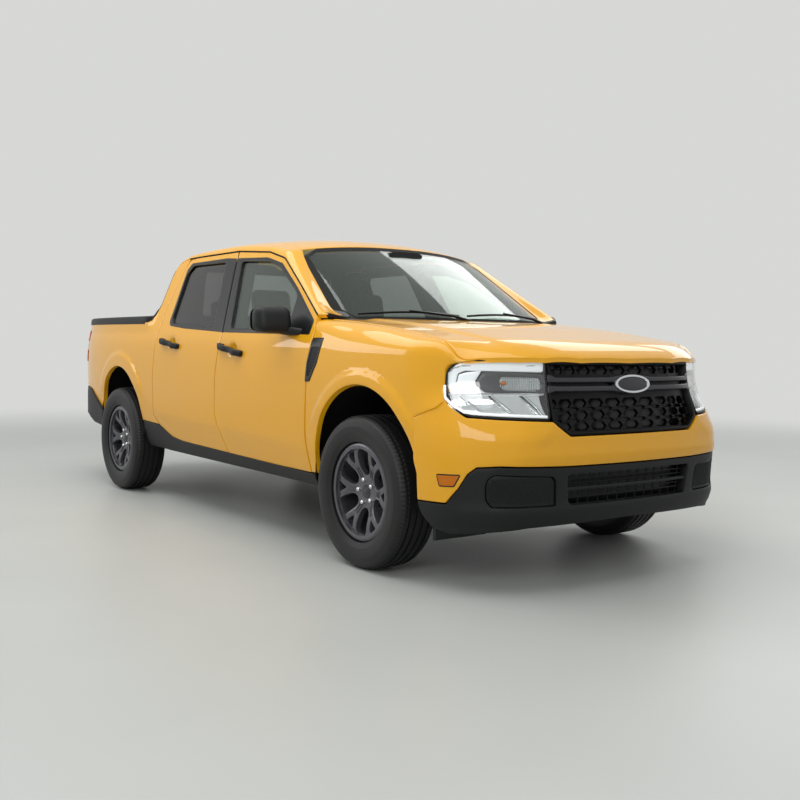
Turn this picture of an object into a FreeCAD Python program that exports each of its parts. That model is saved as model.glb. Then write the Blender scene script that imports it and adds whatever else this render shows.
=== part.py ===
import FreeCAD, Part
import math
import os
from FreeCAD import Vector

# A compact four-door pickup with one shell for cab and load bed.
# Millimetres; +X to the nose, +Y to the driver's left, +Z up.
# The origin lies on the ground under the middle of the truck.

os.makedirs("parts", exist_ok=True)

# Driving sizes of the whole truck
BODY_LENGTH = 5073.0
BODY_WIDTH = 1844.0
ROOF_HEIGHT = 1695.0
WHEELBASE = 3076.0
FRONT_OVERHANG = 900.0
TRACK = 1590.0
TYRE_RADIUS = 362.0
TYRE_WIDTH = 225.0

HALF_LENGTH = BODY_LENGTH / 2
HALF_WIDTH = BODY_WIDTH / 2
FRONT_AXLE_X = HALF_LENGTH - FRONT_OVERHANG
REAR_AXLE_X = FRONT_AXLE_X - WHEELBASE
WHEEL_Y = TRACK / 2

# Levels and walls of the shell
BELT_HEIGHT = 1115.0
ROCKER_HEIGHT = 335.0
WALL = 120.0
SKIN = 28.0
JAMB_DEPTH = 36.0
SEAT_GAP = 0.3
SHUT_GAP = 6.0
DOOR_ROOM = 9.0
DOOR_THICKNESS = 110.0
OPENING_INSET = 45.0
BOX_INSET = 62.0
OVERRUN = 400.0
PANEL = 30.0


def between(table, place):
    """Straight-line reading of a table of pairs."""
    if place <= table[0][0]:
        return table[0][1]
    for (low, first), (high, second) in zip(table, table[1:]):
        if place <= high:
            return first + (second - first) * (place - low) / (high - low)
    return table[-1][1]


def box(low, high):
    """A box from its lowest to its highest corner."""
    size = Vector(*high) - Vector(*low)
    return Part.makeBox(size.x, size.y, size.z, Vector(*low))


def rod(start, end, radius):
    """A round bar between two points."""
    start = Vector(*start)
    way = Vector(*end) - start
    return Part.makeCylinder(radius, way.Length, start, way)


def side_points(shares):
    """Side-view shares as (x, z) in millimetres."""
    return [(x * HALF_LENGTH, z * ROOF_HEIGHT) for x, z in shares]


def side_face(points):
    """A side-view outline as a face on the middle plane."""
    corners = [Vector(x, 0, z) for x, z in points]
    return Part.Face(Part.makePolygon(corners + corners[:1]))


def side_prism(points, low=0.0, high=HALF_WIDTH + OVERRUN, grow=0.0):
    """A side-view outline, grown or shrunk, pushed across from low to high."""
    face = side_face(points)
    if grow:
        face = Part.Face(face.OuterWire.makeOffset2D(grow))
    face.translate(Vector(0, low, 0))
    return face.extrude(Vector(0, high - low, 0))


def plan_prism(points, low, high):
    """A plan outline pushed up from low to high."""
    corners = [Vector(x, y, low) for x, y in points]
    return Part.Face(Part.makePolygon(corners + corners[:1])).extrude(Vector(0, 0, high - low))


def mirrored(shape):
    """The same piece on the truck's right side."""
    return shape.mirror(Vector(0, 0, 0), Vector(0, 1, 0))


def smooth(grid):
    """A smooth face through a grid of points."""
    surface = Part.BSplineSurface()
    surface.interpolate(grid)
    return surface.toShape()


def fused(shapes):
    """Several overlapping solids as one."""
    return shapes[0].multiFuse(shapes[1:]).removeSplitter()


def save(name, shape):
    """Writes one piece."""
    shape.exportStep("parts/" + name + ".step")


# Body side: its section, its plan and its lean, all as shares of the whole
section_shares = [(0.1652, 0.9176), (0.1976, 0.9306), (0.2655, 0.9458), (0.3304, 0.9588), (0.413, 0.9685),
                  (0.5015, 0.9696), (0.59, 0.962), (0.6254, 0.9534), (0.6578, 0.9371), (0.6844, 0.9197),
                  (0.767, 0.8633), (0.8437, 0.8113), (0.9115, 0.7636), (0.9558, 0.731), (1.0147, 0.6855)]
plan_share = [(-0.9698, 0.860), (-0.9068, 0.915), (-0.8279, 0.957), (-0.7096, 0.986), (-0.5677, 1.000),
              (-0.4337, 1.000), (-0.3942, 1.000), (-0.3568, 1.000), (-0.3154, 1.000), (-0.1577, 1.000),
              (0.0, 1.000), (0.1577, 1.000), (0.3154, 1.000), (0.4731, 1.003), (0.6466, 1.010),
              (0.7491, 1.006), (0.8279, 0.990), (0.887, 0.962), (0.9265, 0.925), (0.9659, 0.860)]
lean_share = [(-0.3942, 0.30), (-0.3568, 1.0)]


def skin_half(x, z):
    """Half the body's width at one place of the side."""
    width = between(section_shares, z / ROOF_HEIGHT) * HALF_WIDTH
    if z > BELT_HEIGHT:
        belt = between(section_shares, BELT_HEIGHT / ROOF_HEIGHT) * HALF_WIDTH
        width = belt - (belt - width) * between(lean_share, x / HALF_LENGTH)
    return width * between(plan_share, x / HALF_LENGTH)


skin_face = smooth([[Vector(x * HALF_LENGTH, skin_half(x * HALF_LENGTH, z * ROOF_HEIGHT), z * ROOF_HEIGHT)
                     for z, width in section_shares] for x, factor in plan_share])


def side_slab(outer, inner):
    """The left wall between two depths under the skin."""
    face = skin_face.copy()
    face.translate(Vector(0, -outer, 0))
    return face.extrude(Vector(0, outer - inner, 0))


def inside_skin(depth):
    """Everything between the middle plane and a depth under the left skin."""
    face = skin_face.copy()
    face.translate(Vector(0, -depth, 0))
    return face.extrude(Vector(0, -HALF_WIDTH, 0))


def inside_both(depth):
    """Everything between the two body sides, at a depth under their skins."""
    face = skin_face.copy()
    face.translate(Vector(0, -depth, 0))
    half = face.extrude(Vector(0, -BODY_WIDTH, 0))
    return half.common(mirrored(half))


# Bonnet surface: the middle line runs back from the lip, and the lip sweeps back towards the sides
hood_line_shares = [(0.3942, 0.7127), (0.4534, 0.708), (0.5125, 0.7032), (0.6505, 0.6885),
                    (0.7648, 0.6708),
                    (0.8811, 0.646), (0.9482, 0.6236), (0.9817, 0.5917), (1.0329, 0.5192), (1.0881,
                                                                                            0.4366)]
HOOD_SWEEP = 136.0
HOOD_HALF_WIDTH = 780.0
HOOD_PANEL = 20.0
hood_rows_share = (-1.2, -0.9, -0.6, -0.3, 0.0, 0.3, 0.6, 0.9, 1.2)
hood_columns_share = (0.3942, 0.4731, 0.5519, 0.6505, 0.7491, 0.8279, 0.887, 0.9265, 0.9541, 0.9777,
                      1.0014)


def hood_z(x, y):
    """Height of the bonnet and wing tops."""
    swept = x + HOOD_SWEEP * (y / HOOD_HALF_WIDTH) ** 2
    return between(hood_line_shares, swept / HALF_LENGTH) * ROOF_HEIGHT


hood_face = smooth([[Vector(x * HALF_LENGTH, row * HOOD_HALF_WIDTH,
                            hood_z(x * HALF_LENGTH, row * HOOD_HALF_WIDTH))
                     for row in hood_rows_share] for x in hood_columns_share])


def below(face, drop, depth=None):
    """The solid under a surface lowered by drop, down to depth or far below."""
    lowered = face.copy()
    lowered.translate(Vector(0, 0, -drop))
    return lowered.extrude(Vector(0, 0, -(depth if depth else ROOF_HEIGHT + OVERRUN)))


# Roof surface
roof_line_shares = [(-0.3942, 0.9204), (-0.3548, 0.951), (-0.2996, 0.9746), (-0.1971, 0.9923),
                    (-0.0591, 1.0),
                    (0.0788, 0.9971), (0.1774, 0.9841), (0.2444, 0.9652), (0.2839, 0.9493), (0.3351,
                                                                                             0.9263)]
ROOF_EDGE_DROP = 66.0
ROOF_HALF_WIDTH = 640.0
ROOF_PANEL = 42.0
roof_rows_share = (-1.2, -0.9, -0.6, -0.3, 0.0, 0.3, 0.6, 0.9, 1.2)


def roof_z(x, y):
    """Height of the roof."""
    drop = ROOF_EDGE_DROP * abs(y / ROOF_HALF_WIDTH) ** 2.4
    return between(roof_line_shares, x / HALF_LENGTH) * ROOF_HEIGHT - drop


roof_face = smooth([[Vector(x * HALF_LENGTH, row * ROOF_HALF_WIDTH,
                            roof_z(x * HALF_LENGTH, row * ROOF_HALF_WIDTH))
                     for row in roof_rows_share] for x, z in roof_line_shares])

# Side-view outlines of the doors, their windows and the shell, as shares
rear_door_shares = [(-0.3272, 0.3304), (-0.3241, 0.5074), (-0.3154, 0.6136), (-0.3126, 0.7534),
                    (-0.3016, 0.826),
                    (-0.276, 0.9204), (-0.2622, 0.9381), (-0.2208, 0.9428), (-0.0016, 0.944), (0.0623,
                                                                                               0.6549),
                    (0.0442, 0.5074), (0.0406, 0.3699), (0.0808, 0.2496), (0.0808, 0.236), (-0.1892,
                                                                                            0.236),
                    (-0.2326, 0.2537), (-0.276, 0.295)]
front_door_shares = [(0.0808, 0.236), (0.0808, 0.2496), (0.0406, 0.3699), (0.0442, 0.5074),
                     (0.0623, 0.6549),
                     (0.0032, 0.944), (0.162, 0.9251), (0.2365, 0.8932), (0.3458, 0.8018), (0.4605,
                                                                                            0.6997),
                     (0.4715, 0.6625), (0.4573, 0.5074), (0.4498, 0.344), (0.4554, 0.236)]
rear_window_shares = [(-0.2523, 0.7068), (-0.2365, 0.6914), (0.0055, 0.6737), (-0.0473, 0.9115),
                      (-0.2365, 0.9145),
                      (-0.2563, 0.885)]
front_window_shares = [(0.0966, 0.6702), (0.0394, 0.9074), (0.1735, 0.8962), (0.2365, 0.8696),
                       (0.3351, 0.7906),
                       (0.3982, 0.7316), (0.4021, 0.6667)]
shell_shares = [(-0.9541, 0.4142), (-0.9541, 0.7032), (-0.3568, 0.6962), (-0.3548, 0.7493),
                (-0.3485, 0.8466),
                (-0.3438, 0.9227), (-0.3201, 0.9676), (-0.2365, 1.0029), (0.1971, 1.0029)]
sill_shares = [(0.479, 0.6785), (0.479, 0.649), (0.4731, 0.1976), (-0.3942, 0.1976), (-0.41, 0.3068),
               (-0.6958, 0.3068), (-0.6958, 0.4142)]
ARCH_RAISE_REAR = 123.0
ARCH_RADIUS_REAR = 392.0
ARCH_RAISE_FRONT = 78.0
ARCH_RADIUS_FRONT = 428.0
ARCH_SHIFT_FRONT = 14.0


def arch_cut(x, raise_by, radius):
    """The open wheel arch on the left side, down to the ground."""
    centre_z = TYRE_RADIUS + raise_by
    top = Part.makeCylinder(radius, WALL * 4, Vector(x, HALF_WIDTH - WALL * 3, centre_z), Vector(0, 1, 0))
    low = box((x - radius, HALF_WIDTH - WALL * 3, -OVERRUN), (x + radius, HALF_WIDTH + WALL, centre_z))
    return top.fuse(low)


front_arch = arch_cut(FRONT_AXLE_X + ARCH_SHIFT_FRONT, ARCH_RAISE_FRONT, ARCH_RADIUS_FRONT)
rear_arch = arch_cut(REAR_AXLE_X, ARCH_RAISE_REAR, ARCH_RADIUS_REAR)

rear_door_points = side_points(rear_door_shares)
front_door_points = side_points(front_door_shares)
door_points = {"rear": rear_door_points, "front": front_door_points}
window_points = {"rear": side_points(rear_window_shares), "front": side_points(front_window_shares)}

# Striker pins that the closed doors rest on: place as shares, sizes in millimetres
STRIKER_RADIUS = 6.0
STRIKER_DEPTH = 75.0
NOTCH_LENGTH = 36.0
STRIKER_REACH = 14.0
striker_shares = {"rear": (-0.3241, 0.531), "front": (0.0442, 0.531)}


def door_hull(kind):
    """Outer skin and inner box of one left door, before its window is cut."""
    points = door_points[kind]
    skin = side_slab(0, SKIN).common(side_prism(points, grow=-SHUT_GAP / 2))
    inner = side_slab(SKIN / 2, DOOR_THICKNESS).common(side_prism(points, grow=-BOX_INSET))
    inner = inner.cut(box((-HALF_LENGTH, 0, BELT_HEIGHT),
                          (HALF_LENGTH, BODY_WIDTH, ROOF_HEIGHT + OVERRUN)))
    return skin.fuse(inner)


def striker(kind, grow=0.0, inner=0.0):
    """A striker pin along X, or with grow the notch that it lies in."""
    x, z = striker_shares[kind]
    x, z = x * HALF_LENGTH + OPENING_INSET, z * ROOF_HEIGHT
    y = skin_half(x, z) - STRIKER_DEPTH
    radius = STRIKER_RADIUS + grow
    reach = BOX_INSET - OPENING_INSET + STRIKER_REACH
    if not grow:
        return rod((x - PANEL, y, z), (x + reach, y, z), radius)
    return box((x, y - inner, z - radius), (x + reach + NOTCH_LENGTH, y + radius * 2, z + radius))


doors = {}
for kind in ("rear", "front"):
    door = door_hull(kind).cut(side_prism(window_points[kind]))
    door = door.cut(striker(kind, SEAT_GAP, WALL))
    if kind == "rear":
        door = door.cut(Part.makeCylinder(ARCH_RADIUS_REAR + PANEL, WALL * 4,
                                          Vector(REAR_AXLE_X, HALF_WIDTH - WALL * 3,
                                                 TYRE_RADIUS + ARCH_RAISE_REAR),
                                          Vector(0, 1, 0)))
    doors[kind] = door.removeSplitter()
    save("door_" + kind + "_left", doors[kind])
    save("door_" + kind + "_right", mirrored(doors[kind]))

# Door glass sits in the window opening, 5 mm thick, with its edge on the frame
GLASS = 5.0
GLASS_DEPTH = 9.0
for kind in ("rear", "front"):
    pane = side_slab(GLASS_DEPTH, GLASS_DEPTH + GLASS).common(side_prism(window_points[kind],
                                                                         grow=-SEAT_GAP))
    save("glass_" + kind + "_left", pane)
    save("glass_" + kind + "_right", mirrored(pane))

# Windscreen: an even curved sheet from the cowl to the roof's front edge
base_shares = [(0.0, 0.546), (0.4338, 0.5303), (0.6508, 0.5027), (0.7646, 0.479), (0.808, 0.4672)]
header_shares = [(0.0, 0.276), (0.3254, 0.2705), (0.5423, 0.2555), (0.6779, 0.2393), (0.6941, 0.2365)]
BASE_HALF = 745.0
HEADER_HALF = 640.0
BASE_HEIGHT = 1178.0
HEADER_TUCK = 3.0
SCREEN_BULGE = 14.0
SCREEN_GAP = 3.6
screen_rows_share = (-1.0, -0.94, -0.8, -0.5, 0.0, 0.5, 0.8, 0.94, 1.0)


def screen_point(rise, row):
    """A point of the windscreen's outer face, from base to header and across."""
    base_y = BASE_HALF * row
    head_y = HEADER_HALF * row
    base_x = between(base_shares, abs(base_y) / HALF_WIDTH) * HALF_LENGTH
    head_x = between(header_shares, abs(head_y) / HALF_WIDTH) * HALF_LENGTH + SCREEN_GAP
    head_z = roof_z(head_x, head_y) - HEADER_TUCK
    swell = SCREEN_BULGE * 4 * rise * (1 - rise) * (1 - row ** 2)
    return Vector(base_x + (head_x - base_x) * rise, base_y + (head_y - base_y) * rise,
                  BASE_HEIGHT + (head_z - BASE_HEIGHT) * rise + swell)


screen_face = smooth([[screen_point(rise, row) for row in screen_rows_share] for rise in (0.0, 0.25, 0.5,
                                                                                          0.75, 1.0)])
windscreen = screen_face.extrude(Vector(-GLASS / 2, 0, -GLASS))
pillar_head = screen_point(1.0, 1.0) - Vector(GLASS / 2, 0, GLASS + SEAT_GAP)
pillar_foot = screen_point(0.0, 1.0) - Vector(GLASS / 2, 0, GLASS + SEAT_GAP)

# One stamped side from the windscreen pillar to the tail lamp
TAIL_LAMP_LOW = 892.0
TAIL_LAMP_HIGH = 1135.0
TAIL_LAMP_DEPTH = 95.0
TAIL_END = 2420.0
shell_points = side_points(shell_shares)
shell_points += [(pillar_head.x, pillar_head.z), (pillar_foot.x, pillar_foot.z)]
shell_points += side_points(sill_shares)
shell = side_slab(0, WALL).common(side_prism(shell_points))
shell = shell.cut(rear_arch)
door_rooms = {}
for kind in ("rear", "front"):
    door_rooms[kind] = side_slab(-WALL, JAMB_DEPTH).common(side_prism(door_points[kind], grow=DOOR_ROOM))
    shell = shell.cut(door_rooms[kind])
    shell = shell.cut(side_prism(door_points[kind], grow=-OPENING_INSET))
over_wing = box((0.4498 * HALF_LENGTH, HALF_WIDTH - JAMB_DEPTH * 5, 0),
                (HALF_LENGTH, BODY_WIDTH, BELT_HEIGHT))
shell = shell.cut(side_slab(-WALL, JAMB_DEPTH).common(over_wing))
lamp_low = (-TAIL_END - OVERRUN, HALF_WIDTH - WALL * 3, TAIL_LAMP_LOW)
lamp_high = (-TAIL_END + TAIL_LAMP_DEPTH, BODY_WIDTH, TAIL_LAMP_HIGH)
tail_lamp = shell.common(box(lamp_low, lamp_high))
shell = shell.cut(box(lamp_low, lamp_high))
over_roof = roof_face.copy()
over_roof.translate(Vector(0, 0, -ROOF_PANEL - SEAT_GAP))
over_roof = over_roof.extrude(Vector(0, 0, OVERRUN))
shell = shell.cut(over_roof)

# Tailgate between the bed sides, on two trunnion pins low at its ends
TAILGATE_HALF_LOW = 650.0
TAILGATE_HALF_HIGH = 622.0
TAILGATE_LOW = 745.0
TAILGATE_HIGH = 1196.0
TAILGATE_OUTER = 2436.0
TAILGATE_THICK = 84.0
TRUNNION_X = -2394.0
TRUNNION_Z = 768.0
TRUNNION_RADIUS = 10.0
TRUNNION_REACH = 690.0
tailgate_corners = [(-TAILGATE_HALF_LOW, TAILGATE_LOW), (TAILGATE_HALF_LOW, TAILGATE_LOW),
                    (TAILGATE_HALF_HIGH, TAILGATE_HIGH), (-TAILGATE_HALF_HIGH, TAILGATE_HIGH)]
tailgate_corners = [Vector(-TAILGATE_OUTER, y, z) for y, z in tailgate_corners]
tailgate = Part.Face(Part.makePolygon(tailgate_corners + tailgate_corners[:1]))
tailgate = tailgate.extrude(Vector(TAILGATE_THICK, 0, 0))
tailgate = tailgate.fuse(rod((TRUNNION_X, -TRUNNION_REACH, TRUNNION_Z),
                             (TRUNNION_X, TRUNNION_REACH, TRUNNION_Z),
                             TRUNNION_RADIUS))
save("tailgate", tailgate)
shell = shell.cut(rod((TRUNNION_X, 0, TRUNNION_Z), (TRUNNION_X, TRUNNION_REACH + SHUT_GAP, TRUNNION_Z),
                      TRUNNION_RADIUS + SEAT_GAP))
for kind in ("rear", "front"):
    shell = shell.fuse(striker(kind))
save("body_side_left", shell)
save("body_side_right", mirrored(shell))
tail_lamp = tail_lamp.common(box((-TAIL_END, 0, TAIL_LAMP_LOW + SEAT_GAP),
                                 (-TAIL_END + TAIL_LAMP_DEPTH - SEAT_GAP, BODY_WIDTH,
                                  TAIL_LAMP_HIGH - SEAT_GAP)))
save("tail_lamps", Part.makeCompound([tail_lamp, mirrored(tail_lamp)]))

# Roof panel over the side rails, open for the windscreen at its front
ROOF_REAR = 845.0
roof_plan = [(-ROOF_REAR, -HALF_WIDTH), (-ROOF_REAR, HALF_WIDTH)]
roof_plan += [(header_shares[-1][1] * HALF_LENGTH, HALF_WIDTH)]
roof_plan += [(x * HALF_LENGTH, y * HALF_WIDTH) for y, x in reversed(header_shares[1:])]
roof_plan += [(x * HALF_LENGTH, -y * HALF_WIDTH) for y, x in header_shares]
roof_plan += [(header_shares[-1][1] * HALF_LENGTH, -HALF_WIDTH)]
roof = below(roof_face, 0, ROOF_PANEL).common(inside_both(0))
roof = roof.common(plan_prism(roof_plan, 0, ROOF_HEIGHT + OVERRUN))
for kind in ("rear", "front"):
    roof = roof.cut(door_rooms[kind]).cut(mirrored(door_rooms[kind]))
AERIAL_X = -430.0
AERIAL_TOP = 1745.0
AERIAL_RADIUS = 5.0
save("roof", roof.fuse(rod((AERIAL_X, 0, roof_z(AERIAL_X, 0) - ROOF_PANEL / 2),
                           (AERIAL_X, 0, AERIAL_TOP), AERIAL_RADIUS)))

# Plan of the bonnet, from its rear edge to its lip
hood_rear_shares = [(0.5661, 0.0), (0.5519, 0.4338), (0.5243, 0.6508), (0.4975, 0.7809), (0.4829, 0.846)]
hood_front_shares = [(0.9817, 0.0), (0.9769, 0.3254), (0.9643, 0.5206), (0.9446, 0.705), (0.9281, 0.846)]
hood_left = [(x * HALF_LENGTH, y * HALF_WIDTH) for x, y in hood_rear_shares]
hood_left += [(x * HALF_LENGTH, y * HALF_WIDTH) for x, y in reversed(hood_front_shares)]
hood_plan = hood_left + [(x, -y) for x, y in reversed(hood_left[1:-1])]
hood_prism = plan_prism(hood_plan, 0, ROOF_HEIGHT)

# Floor, firewall, engine rails, strut towers and rear rails, welded into one platform
FLOOR_TOP = 375.0
FIREWALL_X = 1150.0
FIREWALL_THICK = 40.0
COWL_HEIGHT = 1120.0
RAIL_IN = 370.0
RAIL_OUT = 440.0
RAIL_LOW = 470.0
RAIL_HIGH = 570.0
SUPPORT_X = 2290.0
SUPPORT_THICK = 30.0
SUPPORT_HALF = 600.0
SUPPORT_LOW = 330.0
SUPPORT_HIGH = 930.0
BED_FLOOR_LOW = 735.0
BED_FLOOR_HIGH = 765.0
REAR_RAIL_LOW = 650.0
REAR_RAIL_END = 2330.0
TOWER_LOW = 970.0
TOWER_HIGH = 1010.0
TOWER_HALF = 80.0
KINGPIN_Y = 650.0
STRUT_RADIUS = 24.0
CAB_REAR = 903.0
within_walls = inside_both(WALL + SEAT_GAP)
floor = box((-CAB_REAR, -HALF_WIDTH, ROCKER_HEIGHT), (FIREWALL_X + FIREWALL_THICK, HALF_WIDTH, FLOOR_TOP))
firewall = box((FIREWALL_X, -HALF_WIDTH, ROCKER_HEIGHT),
               (FIREWALL_X + FIREWALL_THICK, HALF_WIDTH, COWL_HEIGHT))
platform = [floor.common(within_walls), firewall.common(within_walls)]
for side in (-1, 1):
    inner, outer = sorted((side * RAIL_IN, side * RAIL_OUT))
    tower_in, tower_out = sorted((side * RAIL_IN, side * (KINGPIN_Y + STRUT_RADIUS * 2)))
    platform += [
        box((FIREWALL_X, inner, RAIL_LOW), (SUPPORT_X + SUPPORT_THICK, outer, RAIL_HIGH)),
        box((FRONT_AXLE_X - TOWER_HALF, inner, RAIL_LOW), (FRONT_AXLE_X + TOWER_HALF, outer, TOWER_HIGH)),
        box((FRONT_AXLE_X - TOWER_HALF, tower_in, TOWER_LOW),
            (FRONT_AXLE_X + TOWER_HALF, tower_out, TOWER_HIGH)),
        box((-REAR_RAIL_END, inner, REAR_RAIL_LOW),
            (-CAB_REAR + FIREWALL_THICK, outer, BED_FLOOR_LOW - SEAT_GAP)),
        box((-CAB_REAR, inner, ROCKER_HEIGHT),
            (-CAB_REAR + FIREWALL_THICK, outer, BED_FLOOR_LOW - SEAT_GAP))]
support = box((SUPPORT_X, -SUPPORT_HALF, SUPPORT_LOW),
              (SUPPORT_X + SUPPORT_THICK, SUPPORT_HALF, SUPPORT_HIGH))
platform.append(support.cut(box((0, WALL - SUPPORT_HALF, RAIL_HIGH),
                                (HALF_LENGTH, SUPPORT_HALF - WALL, SUPPORT_HIGH - PANEL))))
# Scuttle panel between bonnet and windscreen, on top of the firewall
COWL_DEPTH = 40.0
cowl_rear = [(x * HALF_LENGTH - FIREWALL_THICK, y * HALF_WIDTH) for y, x in base_shares]
cowl_front = [(x * HALF_LENGTH - SHUT_GAP, y * HALF_WIDTH) for x, y in hood_rear_shares[:-1]]
cowl_left = cowl_rear + list(reversed(cowl_front))
cowl_plan = cowl_left + [(x, -y) for x, y in reversed(cowl_left[1:-1])]
cowl = plan_prism(cowl_plan, COWL_HEIGHT - PANEL, BASE_HEIGHT - GLASS - SEAT_GAP)
cowl = cowl.common(within_walls)
platform.append(cowl)
save("platform", fused(platform))

# Cab back wall with its window
BACK_THICK = 45.0
BACK_WINDOW_LOW = 1225.0
BACK_WINDOW_HIGH = 1545.0
BACK_WINDOW_HALF = 520.0
back_shares = [(-0.356, 0.4338), (-0.356, 0.7493), (-0.3485, 0.8466), (-0.3438, 0.9227),
               (-0.3351, 0.9676)]
back_line = side_points(back_shares)
back_points = back_line + [(x + BACK_THICK, z) for x, z in reversed(back_line)]
back = side_prism(back_points, low=-HALF_WIDTH, high=HALF_WIDTH).common(within_walls).cut(over_roof)
opening = box((-HALF_LENGTH, -BACK_WINDOW_HALF, BACK_WINDOW_LOW), (0, BACK_WINDOW_HALF, BACK_WINDOW_HIGH))
pane_line = [(x + BACK_THICK / 2, z) for x, z in back_line]
pane = side_prism(pane_line + [(x + GLASS, z) for x, z in reversed(pane_line)], low=-HALF_WIDTH,
                  high=HALF_WIDTH)
inner_opening = box((-HALF_LENGTH, -BACK_WINDOW_HALF + SEAT_GAP, BACK_WINDOW_LOW + SEAT_GAP),
                    (0, BACK_WINDOW_HALF - SEAT_GAP, BACK_WINDOW_HIGH - SEAT_GAP))
save("screens", Part.makeCompound([windscreen, pane.common(inner_opening)]))
save("cab_back", back.cut(opening))

# Bed tub: floor, front wall, side walls and the humps over the rear wheels
TUB_HALF = 677.0
TUB_WALL = 20.0
TUB_REAR = 2345.0
TUB_HIGH = 1170.0
HOUSE_HALF = 541.0
HOUSE_RADIUS = 432.0
HOUSE_WALL = 25.0
axle_line = Vector(0, 1, 0)
tub = box((-TUB_REAR, -TUB_HALF, BED_FLOOR_LOW), (-CAB_REAR - SEAT_GAP, TUB_HALF, TUB_HIGH))
tub = tub.cut(box((-HALF_LENGTH, TUB_WALL - TUB_HALF, BED_FLOOR_HIGH),
                  (-CAB_REAR - TUB_WALL, TUB_HALF - TUB_WALL, ROOF_HEIGHT)))
tub_inside = inside_both(WALL + SEAT_GAP)
for side in (-1, 1):
    low, high = sorted((side * HOUSE_HALF, side * TUB_HALF))
    hump = Part.makeCylinder(HOUSE_RADIUS + HOUSE_WALL, high - low,
                             Vector(REAR_AXLE_X, low, TYRE_RADIUS), axle_line)
    hump = hump.common(box((-HALF_LENGTH, low, BED_FLOOR_LOW), (0, high, ROOF_HEIGHT)))
    tub = tub.fuse(hump)
    room_low, room_high = sorted((side * (HOUSE_HALF + HOUSE_WALL), side * (TUB_HALF + OVERRUN)))
    tub = tub.cut(Part.makeCylinder(HOUSE_RADIUS, room_high - room_low,
                                    Vector(REAR_AXLE_X, room_low, TYRE_RADIUS), axle_line))
tub = tub.common(tub_inside)
save("bed_tub", tub)

# Front wings: side and top of the engine bay's outer skin
WING_THICK = 35.7
WING_TOP = 24.0
CROWN_GAP = 6.0
wing_shares = [(0.4416, 0.2372), (0.5125, 0.2372), (0.5125, 0.295), (0.8121, 0.295), (0.8121, 0.4395),
               (0.906, 0.4873),
               (0.9146, 0.5841), (0.9068, 0.767), (0.4416, 0.767)]
wing_outer = inside_skin(0).common(below(hood_face, 0))
wing_inner = inside_skin(WING_THICK).common(below(hood_face, WING_TOP))
wing = wing_outer.cut(wing_inner).common(side_prism(side_points(wing_shares)))
wing = wing.cut(front_arch)
wing = wing.cut(side_slab(-WALL, WALL).common(side_prism(front_door_points, grow=SHUT_GAP / 2)))
wing = wing.cut(box((0, -HALF_WIDTH, BELT_HEIGHT - WALL * 2),
                    (HALF_LENGTH, HOOD_HALF_WIDTH + CROWN_GAP, ROOF_HEIGHT)))
wing = wing.cut(shell)
save("front_wing_left", wing)
save("front_wing_right", mirrored(wing))

# Bonnet over the engine bay, hinged at its rear corners
BUFFER_RADIUS = 14.0
BUFFER_X = 2305.0
BUFFER_Y = 560.0
hood = below(hood_face, 0, HOOD_PANEL).common(hood_prism)
for side in (-1, 1):
    buffer_top = hood_z(BUFFER_X, BUFFER_Y) - HOOD_PANEL / 2
    hood = hood.fuse(rod((BUFFER_X, side * BUFFER_Y, SUPPORT_HIGH + SEAT_GAP),
                         (BUFFER_X, side * BUFFER_Y, buffer_top), BUFFER_RADIUS))
save("hood", hood)

# Nose: one curved band, cut into bumper, lamps, grille and lower valance
NOSE_WALL = 62.0
NOSE_BACK = 2000.0
nose_low_shares = [(0.9903, 0.0), (0.9864, 0.3254), (0.973, 0.6074), (0.9493, 0.7592), (0.9099, 0.8731),
                   (0.8673, 0.9273), (0.8082, 0.9458)]
nose_mid_shares = [(1.0, 0.0), (0.9959, 0.3254), (0.9825, 0.6074), (0.9588, 0.7592), (0.9194, 0.8807),
                   (0.8697, 0.9458), (0.8082, 0.9675)]
nose_grille_shares = [(0.9919, 0.0), (0.988, 0.3254), (0.9754, 0.5423), (0.9509, 0.7375),
                      (0.9131, 0.8731), (0.8673, 0.9414), (0.8082, 0.9675)]
nose_high_shares = [(0.9785, 0.0), (0.9738, 0.3254), (0.9612, 0.5206), (0.9351, 0.7375),
                    (0.9052, 0.8514), (0.8673, 0.9219), (0.8082, 0.9544)]
nose_levels_shares = [(0.1711, nose_low_shares), (0.3215, nose_mid_shares), (0.413, nose_mid_shares),
                      (0.4897, nose_grille_shares), (0.5959, nose_high_shares)]


def nose_section(level, shares, wall):
    """One level of the nose as a closed plan wire."""
    half = [(x * HALF_LENGTH - wall, y * (HALF_WIDTH - wall)) for x, y in shares]
    points = [Vector(x, -y, level) for x, y in reversed(half[1:])] + [Vector(x, y, level) for x,
                                                                      y in half]
    curve = Part.BSplineCurve()
    curve.interpolate(points)
    ends = Part.LineSegment(points[-1], points[0]).toShape()
    return Part.Wire([curve.toShape(), ends])


def nose_body(wall):
    """The whole nose at a depth under its skin."""
    sections = []
    for z, shares in nose_levels_shares:
        sections.append(nose_section(z * ROOF_HEIGHT, shares, wall))
    return Part.makeLoft(sections, True, False)


nose = nose_body(0.0).cut(nose_body(NOSE_WALL)).cut(box((0, -BODY_WIDTH, 0),
                                                        (NOSE_BACK + PANEL * 2, BODY_WIDTH, ROOF_HEIGHT)))
for arch in (front_arch, mirrored(front_arch)):
    nose = nose.cut(arch)
lowered = hood_face.copy()
lowered.translate(Vector(0, 0, -HOOD_PANEL - SHUT_GAP))
nose = nose.cut(lowered.extrude(Vector(0, 0, OVERRUN)))


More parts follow.
